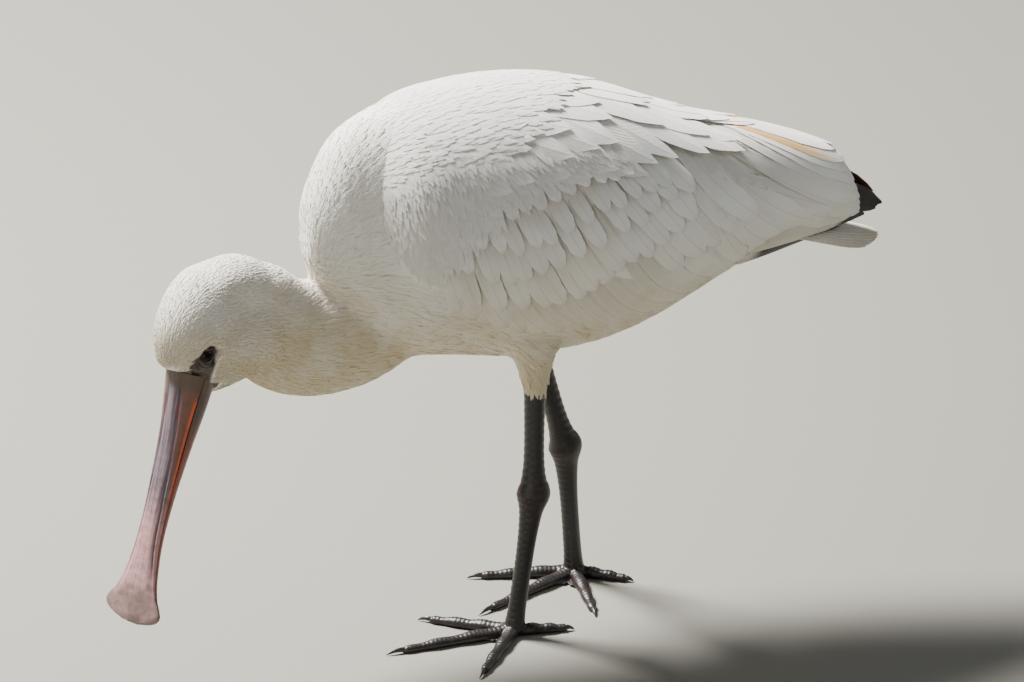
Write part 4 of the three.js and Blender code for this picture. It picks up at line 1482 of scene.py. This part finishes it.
    def tufts(
        self, plumage: Plumage, surface: Surface, roots: Array, normals: Array, uv: Array, size: Array,
        head: Array,
    ) -> None:
        """Add one band of feathers that lie along the flow and follow the skin.

        Args:
            plumage: Where they go.
            surface: The skin's surface.
            roots: Root points.
            normals: Skin normals there.
            uv: Unwrap coordinates there.
            size: Feather lengths.
            head: How far each belongs to the head.
        """
        count = len(roots)
        length = size * self.random.uniform(0.8, 1.25, count) * (1 + 0.3 * ease(roots[:, 0], -40, 40))
        wide = length * (0.115 - 0.03 * head)
        lift = (0.40 + 0.025 * length) * self.random.uniform(0.8, 1.2, count)
        flow = flow_at(roots) + 0.10 * self.random.normal(size=(count, 3))
        turn = self.random.normal(0, 0.12, (count, 1))
        spot, normal, last = roots, normals, 0.0
        rings = []
        for share, width in zip(TUFT.shares, TUFT.widths):
            flow = unit(flow - normal * (flow * normal).sum(1, keepdims=True))
            flow = unit(flow + turn * (share - last) * np.cross(normal, flow))
            if share:
                ahead = spot + flow * (length * (share - last))[:, None]
                near, face = surface.nearest(ahead)
                loose = (ahead[:, 2] < self.cuff_height + 4)[:, None]
                spot = np.where(loose, ahead, near)
                normal = np.where(loose, normal, face)
            level = (-0.4 + (lift + 0.4) * share**0.6)[:, None] * normal
            across = np.cross(normal, flow) * (width * wide)[:, None]
            ridge = normal * (0.14 + 0.14 * wide * (1 - share))[:, None]
            rings.append(np.stack([spot + level - across, spot + level + ridge, spot + level + across], 1))
            last = share
        grid = np.stack(rings, 1)[:, None]
        plumage.add(TUFT, grid, uv, 0.003, warmth=warmth_at(grid[:, 0]), tone=self.random.random(count))

    def build(self, skin_paint: bpy.types.Material, feather_paint: bpy.types.Material) -> None:
        """Make the skin and its feathers."""
        skin = self.skin()
        nodes = ("head", "neck_upper", "neck_lower", "torso", "left_thigh", "right_thigh")
        add_piece(skin, "body_plumage", skin_paint, *nodes)
        self.coat(skin, feather_paint)


# Head parts


@dataclass
class Bill:
    """The long bill: two mandibles that end in a flat round spoon."""

    around: int = 40
    along: int = 150
    groove_at: float = 0.18
    groove_depth: float = 1.0
    gap: float = 0.25

    def mandible(self, upper: bool) -> tuple[Array, list, Array]:
        """Return the points, faces and horn map of one mandible.

        Args:
            upper: Whether it is the upper one.

        Returns:
            Points, faces, and the UV at each point.
        """
        share = np.linspace(0, 1, self.along)
        down = BILL[0, 0] + (BILL[-1, 0] - BILL[0, 0]) * (1 - (1 - share) ** 1.5)
        width, above, below = np.moveaxis(Track(BILL)(down), -1, 0)
        depth = above if upper else below
        half = self.around // 2
        angle = np.linspace(0, np.pi, half + 1)
        boxy = lambda value: np.sign(value) * np.abs(value) ** 0.75
        w = boxy(np.cos(angle))[None] * np.ones((self.along, 1))
        d = boxy(np.sin(angle))[None] * np.ones((self.along, 1))
        groove_at = np.sin(np.pi / 2 * (self.groove_at + 0.5 * down / BILL_LENGTH))[:, None] ** 0.75
        fade = ease(down, 8, 16) * (1 - ease(down, 150, 166))
        groove = np.exp(-(((np.abs(w) - groove_at) / 0.08) ** 2)) * fade[:, None]
        ripple = 0.10 * np.sin(down * 0.9)[:, None] * ease(down, 10, 60)[:, None] * np.cos(w * 3)
        rise = d * depth[:, None] - (groove * self.groove_depth if upper else 0.35 * groove) + ripple * d
        spoon = ease(down, 146, 162)[:, None]
        keel, dish = np.exp(-((w / 0.12) ** 2)), np.exp(-(((np.abs(w) - 0.45) / 0.25) ** 2))
        rise = rise + spoon * (0.5 * keel - 0.5 * dish)
        gape = (0.9 * np.exp(-(((down - 40) / 34) ** 2)))[:, None] * (0 if upper else 1)
        inner_w = np.linspace(-0.93, 0.93, half + 1)[None, 1:-1] * np.ones((self.along, 1))
        inner_d = self.gap + gape + 0.05 * depth[:, None] * (1 - inner_w**2)
        across = np.concatenate([w, inner_w], 1) * width[:, None]
        outwards = 1 if upper else -1
        outer = np.maximum(rise, self.gap + gape)
        forward = outwards * np.concatenate([outer, inner_d], 1)
        points = HeadFrame.point(-down[:, None] + 0 * across, forward, across)
        points, faces = loft(points[:, ::-1] if upper else points)
        angle_map = np.concatenate([np.linspace(-1, 1, half + 1), np.linspace(1, -1, half + 1)[1:-1]])
        horn = np.stack(np.broadcast_arrays(angle_map[None], down[:, None] / BILL_LENGTH), -1)
        horn = horn[:, ::-1] if upper else horn
        ends = np.stack([horn[0].mean(0), horn[-1].mean(0)])
        return points, faces, np.concatenate([horn.reshape(-1, 2), ends])

    def build(self) -> None:
        """Make both mandibles."""
        for upper, name in ((True, "bill_upper"), (False, "bill_lower")):
            points, faces, horn = self.mandible(upper)
            piece = mesh_object(f"{name}_horn", points, faces)
            set_uv(piece, "Horn", horn)
            face_outwards(piece)
            bpy.ops.object.shade_smooth_by_angle(angle=math.radians(60))
            add_piece(piece, name, BillFinish().build(name, upper), name)


@dataclass
class Eyes:
    """Dark glossy eyes with a rim of bare lid."""

    rim: float = 6.1
    tube: float = 1.25

    def build(self, lid_paint: bpy.types.Material) -> None:
        """Make both eyeballs and their lids."""
        for side in Side:
            self.ball(side)
            self.lids(side, lid_paint)

    def ball(self, side: Side) -> None:
        """Make one eyeball with a bulging cornea."""
        bpy.ops.object.select_all(action="DESELECT")
        bpy.ops.mesh.primitive_uv_sphere_add(
            segments=48, ring_count=32, radius=EYE.radius * MM, location=to_scene(EYE.center(side)))
        piece = bpy.context.object
        piece.name = f"{side.label}_eyeball"
        bpy.ops.object.transform_apply(location=True, rotation=True, scale=True)
        points = mesh_points(piece)
        offset = points - EYE.center(side)
        axis = HeadFrame.left * side.value
        facing = offset @ axis / EYE.radius
        points = points + axis * (0.3 * ease(facing, 0.6, 1.0))[:, None]
        set_mesh_points(piece, points)
        set_attribute(piece, "pupil", ease(facing, 0.86, 0.89))
        bpy.ops.object.shade_smooth()
        add_piece(piece, "eye", EyeFinish().build(f"{side.label}_eye"), f"{side.label}_eye")

    def lids(self, side: Side, paint: bpy.types.Material) -> None:
        """Make the rim of the lids: a soft ring drawn out to the front and back corners."""
        angle = np.linspace(0, 2 * np.pi, 72, endpoint=False)
        around = np.linspace(0, 2 * np.pi, 18, endpoint=False)
        corner = np.abs(np.cos(angle)) ** 6
        ring = self.rim + 1.5 * corner - 0.55 * np.abs(np.sin(angle)) ** 2
        tube = self.tube * (1 - 0.25 * corner)
        reach = ring[:, None] + tube[:, None] * np.cos(around)[None] * 1.35
        height = EYE.out + np.sqrt(np.maximum(EYE.radius**2 - np.minimum(ring, 6.2) ** 2, 4))[:, None]
        height = height - 0.6 * corner[:, None] + tube[:, None] * np.sin(around)[None]
        up = EYE.up + reach * np.sin(angle)[:, None]
        forward = EYE.forward + reach * np.cos(angle)[:, None] - 0.2
        rings = HeadFrame.point(up, forward, side.value * height)
        count, size = rings.shape[:2]
        faces = []
        for i in range(count):
            for j in range(size):
                n, m = (i + 1) % count, (j + 1) % size
                face = (i * size + j, n * size + j, n * size + m, i * size + m)
                faces.append(face if side is Side.LEFT else face[::-1])
        piece = mesh_object(f"{side.label}_lids", rings.reshape(-1, 3), faces)
        face_outwards(piece)
        bpy.ops.object.shade_smooth()
        set_attribute(piece, "bare", np.ones(len(piece.data.vertices)))
        add_piece(piece, "body_plumage", paint)


# Legs


@dataclass
class ScaledLeg:
    """A bare scaled leg with four long toes and their claws."""

    label: str
    leg: Leg
    toe_radius: float = 4.3
    voxel: float = 0.62
    scute: float = 4.6

    lengths = {"middle": 94.0, "outer": 75.0, "inner": 70.0, "hind": 43.0}
    shin_shape = ((-0.10, 7.6, 7.0), (0.55, 7.1, 6.6), (0.83, 8.7, 7.0))
    tarsus_shape = ((0, 12.0, 8.8), (0.14, 8.2, 6.4), (0.4, 6.3, 5.6), (0.8, 6.3, 5.6), (0.955, 7.6, 7.2))
    toe_shape = (
        (0, 1.15, 1.3), (0.18, 0.95, 1.05), (0.32, 1, 1.1), (0.45, 0.82, 0.88), (0.6, 0.86, 0.95),
        (0.72, 0.66, 0.7), (0.82, 0.66, 0.72), (0.87, 0.42, 0.44),
    )
    claw_shape = (
        (0.85, 1.9, 1.6, 2.6), (0.89, 1.75, 1.4, 2.9), (0.93, 1.35, 1.0, 2.6), (0.97, 0.85, 0.6, 1.7),
        (1.0, 0.25, 0.2, 0.7),
    )

    def shank(self) -> tuple[Array, list]:
        """Return the shin, ankle and tarsus, with scutes down the front."""
        places = (self.leg.cuff, self.leg.ankle, self.leg.sole)
        cuff, ankle, sole = (np.array(place, float) for place in places)
        stations = np.array([
            (*(start + (end - start) * share), depth, width)
            for start, end, shape in ((cuff, ankle, self.shin_shape), (ankle, sole, self.tarsus_shape))
            for share, depth, width in shape
        ])
        along = 260
        points, faces = limb(stations, ACROSS_BODY, 40, along)
        rings = points[:-2].reshape(along, 40, 3)
        center = rings.mean(1, keepdims=True)
        outward = unit(rings - center)
        front = ease(-outward[..., 0], 0.1, 0.7)
        height = center[..., 2]
        saw = (height / self.scute) % 1.0
        below = 1 - ease(height, self.leg.ankle[2] - 2, self.leg.ankle[2] + 10)
        grooves = np.exp(-((np.minimum(saw, 1 - saw) / 0.10) ** 2))
        folds = 0.25 * np.sin(height * 1.1 + 2.0 * outward[..., 1])
        swell = (0.18 - 0.55 * grooves) * front * below + folds * (1 - below) * 0.6
        rings = rings + outward * swell[..., None]
        return np.concatenate([rings.reshape(-1, 3), points[-2:]]), faces

    @staticmethod
    def heading(degrees: float) -> tuple[Array, Array]:
        """Return the direction of a toe, and the direction to its left."""
        angle = math.radians(degrees)
        ahead = np.array([-math.cos(angle), -math.sin(angle), 0])
        return ahead, np.array([math.sin(angle), -math.cos(angle), 0])

    def toe(self, degrees: float, length: float) -> tuple[Array, list]:
        """Return one toe, with pads below and scutes above, up to its claw."""
        ahead, sideways = self.heading(degrees)
        sole = np.array(self.leg.sole, float)
        stations = []
        for share, depth, width in self.toe_shape:
            x, y, _ = sole + ahead * share * length
            deep = depth * self.toe_radius
            stations.append((x, y, deep * 0.86, deep, width * self.toe_radius))
        along = max(40, int(length * 1.6))
        points, faces = limb(np.array(stations), sideways, 28, along)
        rings = points[:-2].reshape(along, 28, 3)
        outward = unit(rings - rings.mean(1, keepdims=True))
        reach = ((rings - sole) @ ahead)[..., None]
        saw = (reach[..., 0] / 3.1) % 1.0
        grooves = np.exp(-((np.minimum(saw, 1 - saw) / 0.12) ** 2))
        rings = rings + outward * ((0.15 - 0.5 * grooves) * ease(outward[..., 2], 0.1, 0.6))[..., None]
        points = np.concatenate([rings.reshape(-1, 3), points[-2:]])
        points[:, 2] = np.maximum(points[:, 2], 0.35)
        return points, faces

    def web(self, first: float, last: float) -> tuple[Array, list]:
        """Return the small web between two toes, as a thin closed sheet."""
        angles = np.radians(np.linspace(first, last, 11))
        span = np.linspace(-1, 1, 11)
        edge = self.lengths["inner"] * (0.19 + 0.20 * np.abs(span) ** 1.7)
        radius = np.linspace(0, 1, 7)[:, None] * edge
        x = self.leg.sole[0] - radius * np.cos(angles)
        y = self.leg.sole[1] - radius * np.sin(angles)
        sag = 0.8 * (1 - span**2)[None] * np.linspace(0, 1, 7)[:, None]
        top = np.stack([x, y, 2.9 - sag], -1)
        bottom = np.stack([x, y, 1.3 - 0.5 * sag], -1)
        return loft(np.concatenate([top, bottom[:, ::-1]], 1))

    def claw(self, degrees: float, length: float) -> tuple[Array, list]:
        """Return one curved, tapering claw."""
        ahead, sideways = self.heading(degrees)
        stations = []
        for share, depth, width, height in self.claw_shape:
            x, y, _ = np.array(self.leg.sole, float) + ahead * share * length
            stations.append((x, y, height, depth, width))
        points, faces = limb(np.array(stations), sideways, 16, 20)
        points[:, 2] = np.maximum(points[:, 2], 0.3)
        return points, faces

    def build(self, paint: bpy.types.Material, claw_paint: bpy.types.Material) -> None:
        """Make the leg's skin and the claws."""
        toes = {name: getattr(self.leg, name) for name in self.lengths}
        parts = [self.shank()] + [self.toe(angle, self.lengths[name]) for name, angle in toes.items()]
        parts += [self.web(self.leg.middle, self.leg.outer), self.web(self.leg.middle, self.leg.inner)]
        piece = mesh_object(f"{self.label}_leg_skin", *joined(parts))
        face_outwards(piece)
        fuse(piece, self.voxel, 1, 0.4)
        points = mesh_points(piece)
        ankle = np.exp(-(((points[:, 2] - self.leg.ankle[2]) / 22) ** 2))
        foot = 0.5 * np.exp(-((points[:, 2] / 14) ** 2))
        set_attribute(piece, "joint", np.clip(ankle + foot, 0, 1))
        nodes = [f"{self.label}_{part}" for part in ("tibia", "tarsus", "foot")]
        add_piece(piece, "leg_skin", paint, *nodes)
        parts = [self.claw(angle, self.lengths[name]) for name, angle in toes.items()]
        claws = mesh_object(f"{self.label}_claws", *joined(parts))
        face_outwards(claws)
        bpy.ops.object.shade_smooth()
        add_piece(claws, "leg_skin", claw_paint)


# Floor, light and camera


@dataclass(frozen=True)
class Lamp:
    """A soft square lamp: its name, place in metres, width, power in watts and colour."""

    name: str
    place: tuple[float, float, float]
    size: float
    power: float
    colour: tuple[float, float, float]


@dataclass
class Studio:
    """A pale floor, soft light and the camera at the photograph's angle."""

    lamps = (
        Lamp("key", (-1.0, 1.1, 2.2), 0.7, 400.0, (1.0, 0.965, 0.92)),
        Lamp("fill", (-1.6, -2.4, 0.9), 2.0, 20.0, (1.0, 0.95, 0.86)),
        Lamp("rear", (2.4, -0.4, 1.6), 1.6, 16.0, (0.88, 0.93, 1.0)),
    )
    lit_place: tuple[float, float, float] = (0.0, 0.0, 0.25)
    sky: tuple[float, float, float, float] = (0.80, 0.82, 0.85, 1.0)
    sky_strength: float = 0.20

    azimuth: float = math.radians(-18)
    elevation: float = math.radians(25)
    aim: tuple[float, float, float] = (-27.9, 0.0, 204.8)
    distance: float = 16.0
    picture: tuple[int, int] = (1024, 682)
    scale: float = 1450.0

    def floor(self) -> None:
        """Lay the floor."""
        bpy.ops.object.select_all(action="DESELECT")
        bpy.ops.mesh.primitive_plane_add(size=40, location=(0, 0, 0))
        floor = bpy.context.object
        floor.name = "studio_floor"
        paint = Shader("studio_floor", 0.85)
        paint.link(paint.mix(paint.noise(0.6, 2.0), (0.20, 0.197, 0.172), (0.22, 0.217, 0.19)), "Base Color")
        floor.data.materials.append(paint.material)

    def light(self, lamp: Lamp) -> None:
        """Hang one soft lamp that points at the bird."""
        data = bpy.data.lights.new(lamp.name, "AREA")
        data.size, data.energy, data.color = lamp.size, lamp.power, lamp.colour
        item = bpy.data.objects.new(lamp.name, data)
        item.location = lamp.place
        aim = Vector(self.lit_place) - Vector(lamp.place)
        item.rotation_euler = aim.to_track_quat("-Z", "Y").to_euler()
        bpy.context.scene.collection.objects.link(item)

    def camera(self) -> None:
        """Set the camera at the photograph's viewing angle and framing."""
        back = Vector((
            math.sin(self.azimuth) * math.cos(self.elevation),
            -math.cos(self.azimuth) * math.cos(self.elevation),
            math.sin(self.elevation),
        ))
        target = Vector(to_scene(self.aim))
        lens = bpy.data.cameras.new("camera")
        lens.sensor_width = 36.0
        lens.lens = lens.sensor_width * self.distance * self.scale / self.picture[0]
        item = bpy.data.objects.new("camera", lens)
        item.location = target + back * self.distance
        item.rotation_euler = (-back).to_track_quat("-Z", "Y").to_euler()
        bpy.context.scene.collection.objects.link(item)
        bpy.context.scene.camera = item

    def build(self) -> None:
        """Make the whole studio."""
        self.floor()
        for lamp in self.lamps:
            self.light(lamp)
        world = bpy.data.worlds.new("studio")
        world.use_nodes = True
        background = world.node_tree.nodes["Background"]
        background.inputs["Color"].default_value = self.sky
        background.inputs["Strength"].default_value = self.sky_strength
        bpy.context.scene.world = world
        self.camera()


def main() -> None:
    """Build the bird, part by part, and the studio round it."""
    logging.basicConfig(level=logging.INFO, format="%(message)s")
    plumage = PlumageFinish()
    small = plumage.build("small feathers", 9.0, False)
    large = plumage.build("vaned feathers", 46.0, True)
    skin = SkinFinish().build("down and bare skin")
    Body().build(skin, small)
    for side in Side:
        FoldedWing(side).build(large, skin)
    Tail().build(large)
    Bill().build()
    Eyes().build(skin)
    leg_paint = LegFinish().build("scaled skin")
    claw_paint = ClawFinish().build("claw horn")
    for label, leg in LEGS.items():
        ScaledLeg(label, leg).build(leg_paint, claw_paint)
    Studio().build()


if __name__ == "__main__":
    main()
